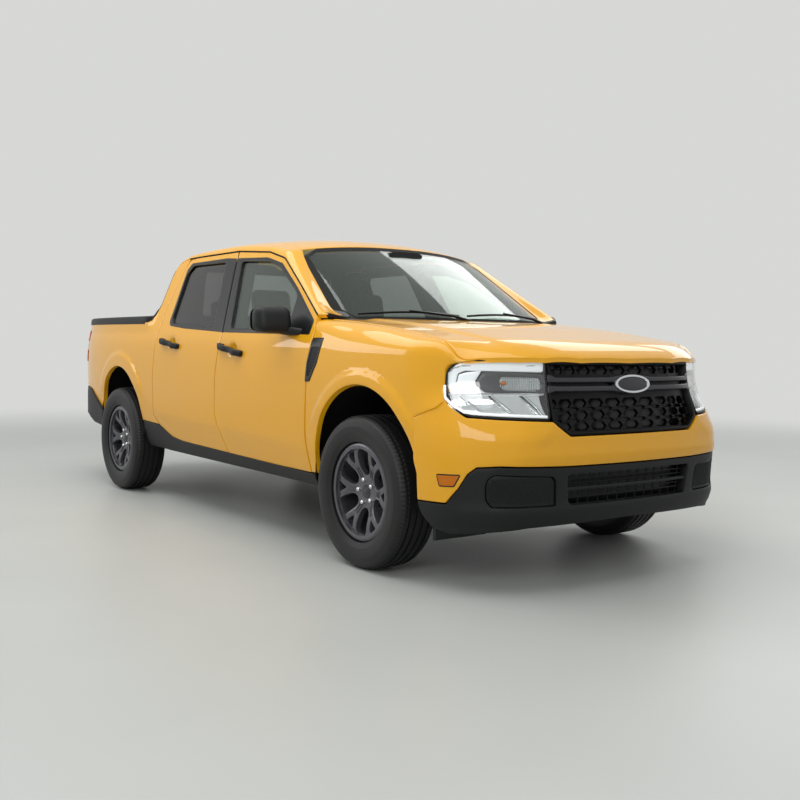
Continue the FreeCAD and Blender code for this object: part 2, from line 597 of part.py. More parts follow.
def front_prism(shares, grow=0.0):
    """A front-view outline in (y, z) shares, pushed through the nose."""
    corners = [Vector(0, y * HALF_WIDTH, z * ROOF_HEIGHT) for y, z in shares]
    face = Part.Face(Part.makePolygon(corners + corners[:1]))
    if grow:
        face = Part.Face(face.OuterWire.makeOffset2D(grow))
    return face.extrude(Vector(HALF_LENGTH + OVERRUN, 0, 0))


VALANCE_TOP = 545.0
LAMP_REAR = 2300.0
grille_shares = [(-0.5401, 0.6136), (0.5401, 0.6136), (0.5401, 0.5841), (0.5054, 0.4354),
                 (0.3948, 0.3965), (-0.3948, 0.3965),
                 (-0.5054, 0.4354), (-0.5401, 0.5841)]
lamp_shares = [(0.5401, 0.6136), (0.5401, 0.5841), (0.5054, 0.4354), (0.7592, 0.4466), (1.0195, 0.4578),
               (1.0195, 0.6136)]
lamp_room = front_prism(lamp_shares).common(box((LAMP_REAR, 0, 0),
                                                (HALF_LENGTH + OVERRUN, BODY_WIDTH, ROOF_HEIGHT)))
wing_zone = side_prism(side_points(wing_shares), low=-BODY_WIDTH, high=BODY_WIDTH, grow=SEAT_GAP)
lamp_piece = nose.common(front_prism(lamp_shares, -SEAT_GAP)).common(
    box((LAMP_REAR + SEAT_GAP, 0, 0), (HALF_LENGTH + OVERRUN, BODY_WIDTH, ROOF_HEIGHT)))
lamp_piece = lamp_piece.cut(wing_zone)
grille_piece = nose.common(front_prism(grille_shares, -SEAT_GAP))
save("headlamps", Part.makeCompound([lamp_piece, mirrored(lamp_piece)]))
save("grille", grille_piece)
bumper = nose.cut(front_prism(grille_shares)).cut(lamp_room).cut(mirrored(lamp_room))
valance = bumper.common(box((0, -BODY_WIDTH, 0),
                            (HALF_LENGTH + OVERRUN, BODY_WIDTH, VALANCE_TOP - SEAT_GAP)))
bumper = bumper.cut(box((0, -BODY_WIDTH, 0), (HALF_LENGTH + OVERRUN, BODY_WIDTH, VALANCE_TOP)))
bumper = bumper.cut(wing_zone)
save("front_bumper", bumper)
save("front_valance", valance)

# Rear bumper, a moulded band under the tailgate
REAR_BUMPER_LOW = 412.0
REAR_BUMPER_HIGH = 702.0
REAR_BUMPER_WALL = 70.0
PLATE_SPACING = 177.8
PLATE_HEIGHT = 600.0
PLATE_HOLE = 3.5
rear_plan_shares = [(-1.0, 0.0), (-0.9974, 0.3796), (-0.9864, 0.6508), (-0.962, 0.7972),
                    (-0.9186, 0.8807),
                    (-0.8476, 0.9306), (-0.7688, 0.9501), (-0.7057, 0.961)]


def rear_section(wall):
    """The rear bumper's plan, as a face at its lower edge."""
    half = [(x * HALF_LENGTH + wall, y * (HALF_WIDTH - wall)) for x, y in rear_plan_shares]
    points = [Vector(x, -y, REAR_BUMPER_LOW) for x, y in reversed(half[1:])]
    points += [Vector(x, y, REAR_BUMPER_LOW) for x, y in half]
    curve = Part.BSplineCurve()
    curve.interpolate(points)
    face = Part.Face(Part.Wire([curve.toShape(), Part.LineSegment(points[-1], points[0]).toShape()]))
    return face.extrude(Vector(0, 0, REAR_BUMPER_HIGH - SEAT_GAP - REAR_BUMPER_LOW))


rear_bumper = rear_section(0.0).cut(rear_section(REAR_BUMPER_WALL))
rear_bumper = rear_bumper.cut(box((-FRONT_OVERHANG * 2, -BODY_WIDTH, 0), (0, BODY_WIDTH, ROOF_HEIGHT)))
for arch in (rear_arch, mirrored(rear_arch)):
    rear_bumper = rear_bumper.cut(arch)
for side in (-1, 1):
    rear_bumper = rear_bumper.cut(rod((-BODY_LENGTH, side * PLATE_SPACING / 2, PLATE_HEIGHT),
                                      (0, side * PLATE_SPACING / 2, PLATE_HEIGHT), PLATE_HOLE))
save("rear_bumper", rear_bumper)

# Black caps on the bed rails
CAP_HIGH = 1228.0
CAP_FRONT = 912.0
CAP_LOW = 1192.0
cap_outline = [(-TAIL_END, CAP_LOW), (-CAP_FRONT, CAP_LOW), (-CAP_FRONT, CAP_HIGH), (-TAIL_END, CAP_HIGH)]
cap = side_slab(-SEAT_GAP, WALL).common(side_prism(cap_outline)).cut(shell)
cap.translate(Vector(0, 0, SEAT_GAP))
save("bed_rail_caps", Part.makeCompound([cap, mirrored(cap)]))

# Engine with gearbox, as one plain block between the rails
ENGINE_HALF = 360.0
ENGINE_REAR = 1330.0
ENGINE_FRONT = 1960.0
ENGINE_LOW = 285.0
ENGINE_HIGH = 960.0
save("engine", box((ENGINE_REAR, SEAT_GAP - RAIL_IN, ENGINE_LOW),
                   (ENGINE_FRONT, RAIL_IN - SEAT_GAP, ENGINE_HIGH)))

# Wheels
RIM_SEAT = 222.0
FLANGE_RADIUS = 233.0
BEAD_HALF = 80.0
SIDE_HALF = TYRE_WIDTH / 2
BARREL_INNER = 205.0
HUB_RADIUS = 76.0
HUB_FACE = 745.0
SPOKE_BACK = 44.0
SPOKE_FACE = 76.0
SPOKE_COUNT = 5
SPOKE_SPREAD = 13.0
SPOKE_WIDTH = 30.0
tyre_shares = [(0.0, 1.0), (0.66, 0.997), (0.80, 0.985), (0.90, 0.962), (0.965, 0.925), (1.0, 0.84),
               (0.97, 0.76),
               (0.90, 0.70)]


def turned(profile, centre):
    """A profile of (across, radius) turned about the wheel axis at centre."""
    points = [Vector(centre.x, centre.y + across, centre.z + radius) for across, radius in profile]
    face = Part.Face(Part.makePolygon(points + points[:1]))
    return face.revolve(centre, Vector(0, 1, 0), 360)


def tyre_at(centre):
    """A tyre with its rounded shoulders and bulging walls."""
    half = [(SIDE_HALF * across, TYRE_RADIUS * radius) for across, radius in tyre_shares]
    half += [(BEAD_HALF + SEAT_GAP, FLANGE_RADIUS + SEAT_GAP * 10), (BEAD_HALF, RIM_SEAT + SEAT_GAP)]
    profile = half + [(-across, radius) for across, radius in reversed(half[1:])]
    return turned(profile, centre)


def rim_at(centre, side):
    """A five-spoke alloy wheel with split spokes; side is 1 on the left."""
    edge = BEAD_HALF + SEAT_GAP * 2
    lip = edge + PANEL / 5
    profile = [(-lip, BARREL_INNER), (lip, BARREL_INNER), (lip, FLANGE_RADIUS), (edge, FLANGE_RADIUS),
               (edge, RIM_SEAT), (-edge, RIM_SEAT), (-edge, FLANGE_RADIUS), (-lip, FLANGE_RADIUS)]
    barrel = turned(profile, centre)
    hub_low = HUB_FACE + SEAT_GAP - WHEEL_Y
    hub = turned([(side * hub_low, 0), (side * SPOKE_FACE * 0.8, 0),
                  (side * SPOKE_FACE * 0.8, HUB_RADIUS),
                  (side * hub_low, HUB_RADIUS)], centre)
    pieces = [hub]
    for number in range(SPOKE_COUNT):
        for lean in (-1, 1):
            low, high = sorted((side * SPOKE_BACK, side * SPOKE_FACE))
            spoke = box((-SPOKE_WIDTH / 2, low, HUB_RADIUS * 0.6),
                        (SPOKE_WIDTH / 2, high, BARREL_INNER + SEAT_GAP * 20))
            spoke.rotate(Vector(0, 0, 0), Vector(0, 1, 0),
                         lean * SPOKE_SPREAD + number * 360 / SPOKE_COUNT)
            spoke.translate(centre)
            pieces.append(spoke)
    return fused([barrel] + pieces)


for end, x in (("front", FRONT_AXLE_X), ("rear", REAR_AXLE_X)):
    for name, side in (("left", 1), ("right", -1)):
        centre = Vector(x, side * WHEEL_Y, TYRE_RADIUS)
        save("tyre_" + end + "_" + name, tyre_at(centre))
        save("rim_" + end + "_" + name, rim_at(centre, side))

# Front knuckles turn on the strut and the lower arm
ARM_LOW = 196.0
ARM_HIGH = 232.0
UPRIGHT_TOP = 600.0
DISC_RADIUS = 150.0
DISC_OUTER = 735.0
DISC_THICK = 24.0
SPINDLE_RADIUS = 32.0
FLANGE = 70.0
for name, side in (("left", 1), ("right", -1)):
    foot = (FRONT_AXLE_X, side * KINGPIN_Y, ARM_HIGH + SEAT_GAP)
    upright = rod(foot, (FRONT_AXLE_X, side * KINGPIN_Y, UPRIGHT_TOP), STRUT_RADIUS)
    centre = (FRONT_AXLE_X, side * KINGPIN_Y, TYRE_RADIUS)
    spindle = rod(centre, (FRONT_AXLE_X, side * HUB_FACE, TYRE_RADIUS), SPINDLE_RADIUS)
    disc = rod((FRONT_AXLE_X, side * (DISC_OUTER - DISC_THICK), TYRE_RADIUS),
               (FRONT_AXLE_X, side * DISC_OUTER, TYRE_RADIUS), DISC_RADIUS)
    flange = rod((FRONT_AXLE_X, side * DISC_OUTER, TYRE_RADIUS),
                 (FRONT_AXLE_X, side * HUB_FACE, TYRE_RADIUS), FLANGE)
    save("knuckle_" + name, fused([upright, spindle, disc, flange]))

# Front suspension: cradle, arms and struts
CRADLE_HALF = 400.0
CRADLE_LENGTH = 150.0
ARM_HALF = 32.0
PAD_RADIUS = 26.0
cradle = [box((FRONT_AXLE_X - CRADLE_LENGTH, -CRADLE_HALF, ARM_LOW),
              (FRONT_AXLE_X + CRADLE_LENGTH, CRADLE_HALF, ENGINE_LOW - SEAT_GAP))]
for side in (-1, 1):
    low, high = sorted((side * CRADLE_HALF * 0.9, side * KINGPIN_Y))
    cradle.append(box((FRONT_AXLE_X - ARM_HALF * 0.8, low, ARM_LOW),
                      (FRONT_AXLE_X + ARM_HALF * 0.8, high, ARM_HIGH)))
    cradle.append(rod((FRONT_AXLE_X, side * KINGPIN_Y, ARM_LOW),
                      (FRONT_AXLE_X, side * KINGPIN_Y, ARM_HIGH), PAD_RADIUS))
    for x in (FRONT_AXLE_X - CRADLE_LENGTH, FRONT_AXLE_X + CRADLE_LENGTH - ARM_HALF):
        post_low, post_high = sorted((side * (RAIL_IN + SEAT_GAP), side * CRADLE_HALF))
        cradle.append(box((x, post_low, ARM_LOW), (x + ARM_HALF, post_high, RAIL_LOW - SEAT_GAP)))
cradle = fused(cradle)
struts = []
for side in (-1, 1):
    struts.append(rod((FRONT_AXLE_X, side * KINGPIN_Y, UPRIGHT_TOP + SEAT_GAP),
                      (FRONT_AXLE_X, side * KINGPIN_Y, TOWER_LOW - SEAT_GAP), STRUT_RADIUS))
save("front_suspension", Part.makeCompound([cradle] + struts))

# Rear suspension: cross beam with hubs, trailing arms and springs
BEAM_RADIUS = 42.0
SPRING_Y = 405.0
SPRING_RADIUS = 34.0
TRAIL_X = -1000.0
TRAIL_Y = 560.0
TRAIL_RADIUS = 22.0
rear_parts = [rod((REAR_AXLE_X, -KINGPIN_Y, TYRE_RADIUS), (REAR_AXLE_X, KINGPIN_Y, TYRE_RADIUS),
                  BEAM_RADIUS)]
for side in (-1, 1):
    rear_parts.append(rod((REAR_AXLE_X, side * KINGPIN_Y, TYRE_RADIUS),
                          (REAR_AXLE_X, side * HUB_FACE, TYRE_RADIUS), SPINDLE_RADIUS))
    rear_parts.append(rod((REAR_AXLE_X, side * (DISC_OUTER - DISC_THICK), TYRE_RADIUS),
                          (REAR_AXLE_X, side * DISC_OUTER, TYRE_RADIUS), DISC_RADIUS))
    rear_parts.append(rod((REAR_AXLE_X, side * DISC_OUTER, TYRE_RADIUS),
                          (REAR_AXLE_X, side * HUB_FACE, TYRE_RADIUS), FLANGE))
    rear_parts.append(rod((REAR_AXLE_X, side * SPRING_Y, TYRE_RADIUS),
                          (REAR_AXLE_X, side * SPRING_Y, REAR_RAIL_LOW - SEAT_GAP), SPRING_RADIUS))
    rear_parts.append(rod((REAR_AXLE_X, side * TRAIL_Y, TYRE_RADIUS),
                          (-CAB_REAR - SEAT_GAP, side * TRAIL_Y,
                           (ROCKER_HEIGHT + FLOOR_TOP) / 2), TRAIL_RADIUS))
save("rear_axle", fused(rear_parts))

# Fuel tank and exhaust under the floor
TANK_HALF = 300.0
TANK_LOW = 232.0
TANK_REAR = 860.0
TANK_FRONT = 320.0
PIPE_Y = -180.0
PIPE_Z = 282.0
PIPE_RADIUS = 27.0
MUFFLER_REAR = 2300.0
MUFFLER_FRONT = 1900.0
MUFFLER_HALF = 260.0
MUFFLER_HIGH = 420.0
tank = box((-TANK_REAR, -TANK_HALF, TANK_LOW), (-TANK_FRONT, TANK_HALF, ROCKER_HEIGHT - SEAT_GAP))
pipe = rod((ENGINE_REAR - SEAT_GAP, PIPE_Y, PIPE_Z + STRUT_RADIUS), (-MUFFLER_FRONT, PIPE_Y, PIPE_Z),
           PIPE_RADIUS)
muffler = box((-MUFFLER_REAR, -MUFFLER_HALF, TANK_LOW + PANEL),
              (-MUFFLER_FRONT, MUFFLER_HALF, MUFFLER_HIGH))
save("tank_and_exhaust", fused([tank, pipe, muffler]))

# Seats: cushion, leaning back and headrests, as plain closed solids
SEAT_Y = 365.0
SEAT_HALF = 245.0
seat_shares = [(0.0158, 0.2214), (0.1656, 0.2214), (0.1656, 0.3068), (0.205, 0.3304), (0.2011, 0.4012),
               (0.0237, 0.3835),
               (-0.0355, 0.7257), (-0.0749, 0.7257), (-0.0158, 0.3068)]
rest_shares = [(-0.0434, 0.708), (-0.0591, 0.8319), (-0.0907, 0.826), (-0.071, 0.708)]
rear_seat_shares = [(-0.276, 0.2214), (-0.1301, 0.2214), (-0.0907, 0.3304), (-0.0946, 0.3953),
                    (-0.2523, 0.3776),
                    (-0.2917, 0.6962), (-0.3233, 0.6962), (-0.2996, 0.3304)]
rear_rest_shares = [(-0.2898, 0.6844), (-0.2996, 0.7847), (-0.3272, 0.7788), (-0.3213, 0.6844)]
REST_HALF = 125.0
REAR_SEAT_HALF = 620.0


def seat(shares, rest, centre, half, rests):
    """One seat with its headrests."""
    pieces = [side_prism(side_points(shares), low=centre - half, high=centre + half)]
    for place in rests:
        pieces.append(side_prism(side_points(rest), low=place - REST_HALF, high=place + REST_HALF))
    return fused(pieces)


front_seats = [seat(seat_shares, rest_shares, side * SEAT_Y, SEAT_HALF, [side * SEAT_Y]) for side in (-1,
                                                                                                      1)]
rear_seat = seat(rear_seat_shares, rear_rest_shares, 0, REAR_SEAT_HALF, [-SEAT_Y, SEAT_Y])
save("seats", Part.makeCompound(front_seats + [rear_seat]))

# Dashboard with the centre console and the steering column
STEERING_X = 600.0
STEERING_Z = 1000.0
COLUMN_Y = 370.0
WHEEL_CENTRE = Vector(STEERING_X, COLUMN_Y, STEERING_Z)
COLUMN_TILT = 25.0
COLUMN_RADIUS = 30.0
COLUMN_LENGTH = 330.0
STEERING_RADIUS = 180.0
STEERING_GRIP = 16.0
STEERING_HUB = 62.0
HUB_THICK = 40.0
dash_shares = [(0.4494, 0.413), (0.4494, 0.6401), (0.4337, 0.6631), (0.3864, 0.6655), (0.3312, 0.6401),
               (0.3154, 0.5782), (0.339, 0.4484),
               (0.3942, 0.413)]
CONSOLE_HALF = 105.0
CONSOLE_REAR = -60.0
CONSOLE_FRONT = 900.0
CONSOLE_HIGH = 640.0
CONSOLE_RISE = 900.0
tilt = math.radians(COLUMN_TILT)
column_way = Vector(-math.cos(tilt), 0, math.sin(tilt))
dash = side_prism(side_points(dash_shares), low=-HALF_WIDTH,
                  high=HALF_WIDTH).common(inside_both(WALL + SHUT_GAP))
console = box((CONSOLE_REAR, -CONSOLE_HALF, FLOOR_TOP + SEAT_GAP),
              (CONSOLE_FRONT, CONSOLE_HALF, CONSOLE_HIGH))
rise_block = box((CONSOLE_FRONT - WALL, -CONSOLE_HALF, CONSOLE_HIGH - PANEL),
                 (CONSOLE_FRONT + WALL, CONSOLE_HALF, CONSOLE_RISE))
column_end = WHEEL_CENTRE - column_way * (HUB_THICK + SEAT_GAP)
column = Part.makeCylinder(COLUMN_RADIUS, COLUMN_LENGTH, column_end, column_way * -1)
save("dashboard", fused([dash, console, rise_block, column]))
ring = Part.makeTorus(STEERING_RADIUS, STEERING_GRIP, WHEEL_CENTRE, column_way)
hub = Part.makeCylinder(STEERING_HUB, HUB_THICK, WHEEL_CENTRE - column_way * HUB_THICK, column_way)
wheel_parts = [ring, hub]
for angle in (0, 120, 240):
    spoke = box((-STEERING_GRIP, -STEERING_GRIP, -STEERING_GRIP / 2),
                (STEERING_RADIUS, STEERING_GRIP, STEERING_GRIP / 2))
    spoke.rotate(Vector(0, 0, 0), Vector(0, 0, 1), angle + 180)
    spoke.rotate(Vector(0, 0, 0), Vector(0, 1, 0), COLUMN_TILT - 90)
    spoke.translate(WHEEL_CENTRE - column_way * STEERING_GRIP)
    wheel_parts.append(spoke)
save("steering_wheel", fused(wheel_parts))

# Door mirrors on the front doors
MIRROR_IN = 885.0
MIRROR_OUT = 1060.0
FOOT_REAR = 940.0
FOOT_FRONT = 1000.0
FOOT_LOW = 1095.0
FOOT_HIGH = 1135.0
mirror_shares = [(0.3351, 0.708), (0.3942, 0.7021), (0.3982, 0.649), (0.3469, 0.6401), (0.3331, 0.6549)]
head = side_prism(side_points(mirror_shares), low=MIRROR_IN, high=MIRROR_OUT)
foot = box((FOOT_REAR, HALF_WIDTH - WALL, FOOT_LOW), (FOOT_FRONT, MIRROR_IN + PANEL, FOOT_HIGH))
mirror = head.fuse(foot).cut(doors["front"])
mirror = mirror.cut(inside_skin(0))
save("mirror_left", mirror)
save("mirror_right", mirrored(mirror))
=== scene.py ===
import math

import bpy
import numpy as np
from mathutils import Matrix, Vector
from mathutils.geometry import delaunay_2d_cdt


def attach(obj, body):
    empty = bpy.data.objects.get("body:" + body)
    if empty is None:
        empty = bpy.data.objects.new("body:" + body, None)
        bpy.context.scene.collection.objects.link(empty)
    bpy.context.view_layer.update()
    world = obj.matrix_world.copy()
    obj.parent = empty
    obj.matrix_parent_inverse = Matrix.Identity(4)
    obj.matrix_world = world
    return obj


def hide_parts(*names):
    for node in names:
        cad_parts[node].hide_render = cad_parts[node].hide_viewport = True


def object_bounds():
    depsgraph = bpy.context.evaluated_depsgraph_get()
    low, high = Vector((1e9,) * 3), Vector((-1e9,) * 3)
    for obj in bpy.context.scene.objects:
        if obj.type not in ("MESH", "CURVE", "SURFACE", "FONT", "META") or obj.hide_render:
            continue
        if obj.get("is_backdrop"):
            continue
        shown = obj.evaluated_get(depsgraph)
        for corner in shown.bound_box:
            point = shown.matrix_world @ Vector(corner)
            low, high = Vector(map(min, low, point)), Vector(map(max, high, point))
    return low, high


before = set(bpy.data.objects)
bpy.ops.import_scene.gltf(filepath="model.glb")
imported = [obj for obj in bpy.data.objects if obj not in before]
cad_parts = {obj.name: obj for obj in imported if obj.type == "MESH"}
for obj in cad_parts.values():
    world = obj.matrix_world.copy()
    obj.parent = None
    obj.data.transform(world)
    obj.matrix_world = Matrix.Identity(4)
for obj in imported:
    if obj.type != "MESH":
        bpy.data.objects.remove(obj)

cad_low, cad_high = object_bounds()

# Studio: a pale seamless room with one wide soft lamp over the truck and smaller
# ones at the corners. The floor is lit and keeps the shadow, and fades with distance
# into the same pale grey as the walls.


def tint(code):
    """An sRGB hex colour as linear red, green, blue and alpha."""
    parts = [int(code[i:i + 2], 16) / 255 for i in (1, 3, 5)]
    return [p / 12.92 if p <= 0.04045 else ((p + 0.055) / 1.055) ** 2.4 for p in parts] + [1.0]


def add(tree, kind, inputs=None, **settings):
    """Adds one shader node with its settings; an input takes a value or another node's socket."""
    made = tree.nodes.new("ShaderNode" + kind)
    for key, value in settings.items():
        setattr(made, key, value)
    for key, value in (inputs or {}).items():
        if isinstance(value, bpy.types.NodeSocket):
            tree.links.new(value, made.inputs[key])
        else:
            made.inputs[key].default_value = value
    return made


def new_finish(name):
    """A new finish and its empty node tree."""
    made = bpy.data.materials.new(name)
    made.use_nodes = True
    made.node_tree.nodes.clear()
    return made, made.node_tree


WALL_COLOUR = tint("#D7D8D6")
AMBIENT_STRENGTH = 0.58
world = bpy.data.worlds.new("studio")
bpy.context.scene.world = world
world.use_nodes = True
sky = world.node_tree
sky.nodes.clear()
rays = add(sky, "LightPath")
direct = add(sky, "Math", {0: rays.outputs["Is Camera Ray"], 1: rays.outputs["Is Glossy Ray"]}, operation="MAXIMUM")
seen = add(sky, "Math", {0: direct.outputs[0], 1: rays.outputs["Is Transmission Ray"]}, operation="MAXIMUM")
ambient = add(sky, "Background", {"Color": tint("#F1F4F8"), "Strength": AMBIENT_STRENGTH})
wall = add(sky, "Background", {"Color": WALL_COLOUR, "Strength": 1.0})
mixed = add(sky, "MixShader", {0: seen.outputs[0], 1: ambient.outputs[0], 2: wall.outputs[0]})
add(sky, "OutputWorld", {"Surface": mixed.outputs[0]})

floor_mesh = bpy.data.meshes.new("floor")
FLOOR_HALF = 40.0
floor_mesh.from_pydata([(-FLOOR_HALF, -FLOOR_HALF, 0), (FLOOR_HALF, -FLOOR_HALF, 0), (FLOOR_HALF, FLOOR_HALF, 0),
                        (-FLOOR_HALF, FLOOR_HALF, 0)], [], [(0, 1, 2, 3)])
floor = bpy.data.objects.new("floor", floor_mesh)
bpy.context.scene.collection.objects.link(floor)
floor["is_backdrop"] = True
# Sealed concrete: pale grey with a faint sheen and soft clouds about a metre across.
floor_finish, tree = new_finish("sealed_pale_concrete")
place = add(tree, "TexCoord")
reach = add(tree, "VectorMath", {0: place.outputs["Object"]}, operation="LENGTH")
fade = add(tree, "MapRange", {"Value": reach.outputs["Value"], "From Min": 4.2, "From Max": 11.0},
           interpolation_type="SMOOTHSTEP")
cloud = add(tree, "TexNoise", {"Vector": place.outputs["Object"], "Scale": 0.8, "Detail": 4.0})
tone = add(tree, "Mix", {0: cloud.outputs["Fac"], 6: tint("#B4B6B1"), 7: tint("#C2C4BF")}, data_type="RGBA")
lit = add(tree, "BsdfPrincipled", {"Base Color": tone.outputs[2], "Roughness": 0.42})
flat = add(tree, "Emission", {"Color": WALL_COLOUR, "Strength": 1.0})
ground = add(tree, "MixShader", {0: fade.outputs[0], 1: lit.outputs[0], 2: flat.outputs[0]})
add(tree, "OutputMaterial", {"Surface": ground.outputs[0]})
floor_mesh.materials.append(floor_finish)

soft_lamps = [("over", (0.2, -1.6, 4.6), (0.2, -0.3, 0.3), (6.5, 3.6), 165.0),
              ("over_left", (-0.5, 3.5, 4.3), (0.2, 0.2, 0.8), (2.8, 2.0), 42.0),
              ("front_right", (5.6, -5.2, 3.4), (1.6, -0.4, 0.8), (3.2, 2.2), 95.0),
              ("rear_right", (-5.4, -5.6, 3.2), (-1.2, 0, 0.7), (3.2, 2.2), 62.0),
              ("left", (0.5, 6.6, 3.4), (0, 0, 0.7), (4.5, 2.2), 60.0)]
for name, spot, aim, size, power in soft_lamps:
    lamp = bpy.data.lights.new("softbox_" + name, "AREA")
    lamp.shape = "RECTANGLE"
    lamp.size, lamp.size_y = size
    lamp.energy = power
    holder = bpy.data.objects.new("softbox_" + name, lamp)
    holder.location = spot
    holder.rotation_mode = "QUATERNION"
    holder.rotation_quaternion = (Vector(aim) - Vector(spot)).to_track_quat("-Z", "Y")
    bpy.context.scene.collection.objects.link(holder)

# The camera stands near the front right corner at chest height, as in the photograph.
CAMERA_SPOT = (5.5515, -3.5039, 1.0587)
CAMERA_YAW = math.radians(-35.955)
CAMERA_DIP = math.radians(3.125)
CAMERA_ROLL = math.radians(0.692)
camera_data = bpy.data.cameras.new("camera")
camera_data.sensor_width = 36.0
camera_data.lens = 45.486
camera_data.shift_x = 0.002
camera_data.shift_y = -0.0013
camera = bpy.data.objects.new("camera", camera_data)
ahead = Vector((-math.cos(CAMERA_YAW) * math.cos(CAMERA_DIP), -math.sin(CAMERA_YAW) * math.cos(CAMERA_DIP),
                -math.sin(CAMERA_DIP)))
level = ahead.cross(Vector((0, 0, 1))).normalized()
upward = level.cross(ahead)
across = math.cos(CAMERA_ROLL) * level + math.sin(CAMERA_ROLL) * upward
upward = math.cos(CAMERA_ROLL) * upward - math.sin(CAMERA_ROLL) * level
turn = Matrix((across, upward, -ahead)).transposed().to_4x4()
camera.matrix_world = Matrix.Translation(CAMERA_SPOT) @ turn
bpy.context.scene.collection.objects.link(camera)
bpy.context.scene.camera = camera
bpy.context.scene.view_settings.view_transform = "Standard"

# Body sides: pressed steel skins under two-coat enamel with clear lacquer. The rear
# quarter is one pressing from the back lamp to the rear door, with a raised lip round
# the wheel arch and a fold low on the flank.


def curve(table):
    """A smooth reading of a table of pairs, as a natural cubic through them."""
    x, y = np.array(table, float).T
    width = np.diff(x)
    count = len(x)
    rows = np.eye(count)
    right = np.zeros(count)
    for i in range(1, count - 1):
        rows[i, i - 1:i + 2] = width[i - 1], 2 * (width[i - 1] + width[i]), width[i]
        right[i] = 6 * ((y[i + 1] - y[i]) / width[i] - (y[i] - y[i - 1]) / width[i - 1])
    bend = np.linalg.solve(rows, right)

    def read(t):
        t = np.clip(t, x[0], x[-1])
        i = np.clip(np.searchsorted(x, t) - 1, 0, count - 2)
        left, gone, w = x[i + 1] - t, t - x[i], width[i]
        return ((bend[i] * left ** 3 + bend[i + 1] * gone ** 3) / (6 * w)
                + (y[i] / w - bend[i] * w / 6) * left + (y[i + 1] / w - bend[i + 1] * w / 6) * gone)
    return read


def path(table):
    """Both coordinates of a smooth line through points, each read by the point's number."""
    return [curve([(k, p[n]) for k, p in enumerate(table)]) for n in (0, 1)]


def eased(t):
    """0 to 1 with a soft start and end."""
    t = np.clip(t, 0, 1)
    return t * t * (3 - 2 * t)


def rounded(points, radius):
    """An outline with each corner turned on a small arc."""
    points = [np.array(p, float) for p in points]
    made = []
    for before, corner, after in zip(points[-1:] + points[:-1], points, points[1:] + points[:1]):
        back, on = before - corner, after - corner
        run = min(radius, 0.45 * np.linalg.norm(back), 0.45 * np.linalg.norm(on))
        start = corner + back / np.linalg.norm(back) * run
        end = corner + on / np.linalg.norm(on) * run
        for t in np.linspace(0, 1, 5):
            made.append((1 - t) ** 2 * start + 2 * t * (1 - t) * corner + t * t * end)
    return made


def arc(centre, radius, first, last, step=4.0):
    """Points of an arc, with its angles in degrees."""
    count = max(2, int(abs(last - first) / step))
    return [(centre[0] + radius * math.cos(math.radians(a)), centre[1] + radius * math.sin(math.radians(a)))
            for a in np.linspace(first, last, count)]


def divided(loop, step, closed=True):
    """The outline's own points with more between them, no further apart than step."""
    loop = np.array(loop, float)
    ends = np.roll(loop, -1, 0) if closed else loop[1:]
    made = []
    for start, end in zip(loop, ends):
        length = np.linalg.norm(end - start)
        if length > 0.05:
            parts = max(1, math.ceil(length / step))
            made += [start + (end - start) * k / parts for k in range(parts)]
    if not closed:
        made.append(loop[-1])
    return np.array(made)


def within(points, loop):
    """Which points lie inside an outline."""
    hit = np.zeros(len(points), bool)
    a, b = points[:, 0], points[:, 1]
    for (a0, b0), (a1, b1) in zip(loop, np.roll(loop, -1, 0)):
        if b0 != b1:
            hit ^= ((b0 > b) != (b1 > b)) & (a < (a1 - a0) * (b - b0) / (b1 - b0) + a0)
    return hit


def facing(place, a, b, out):
    """Unit normals of a placed surface, on the side that out points to."""
    u = place(a + 0.5, b) - place(a - 0.5, b)
    v = place(a, b + 0.5) - place(a, b - 0.5)
    normal = np.cross(u, v)
    normal /= np.linalg.norm(normal, axis=1)[:, None] + 1e-12
    return normal * np.where(normal @ np.array(out, float) < 0, -1.0, 1.0)[:, None]


def sunk(place, depth, out):
    """The same surface at a depth under itself."""
    return lambda a, b: place(a, b) - facing(place, a, b, out) * np.reshape(depth, (-1, 1))


def turning(loop):
    """Twice an outline's area, positive where it runs anticlockwise."""
    ahead = np.roll(loop, -1, 0)
    return (loop[:, 0] * ahead[:, 1] - loop[:, 1] * ahead[:, 0]).sum()


def between(points, borders):
    """Which points lie inside the first outline and outside the others."""
    keep = within(points, borders[0])
    for border in borders[1:]:
        keep &= ~within(points, border)
    return keep


def shifted(place, x, y=0.0, z=0.0):
    """The same surface moved by a step."""
    return lambda a, b: place(a, b) + np.array([x, y, z])


def nearest(points, others):
    """How far each point is from the nearest of the others."""
    best = np.full(len(points), 1e9)
    for start in range(0, len(others), 200):
        block = others[start:start + 200]
        best = np.minimum(best, np.sqrt(((points[:, None] - block[None]) ** 2).sum(2)).min(1))
    return best


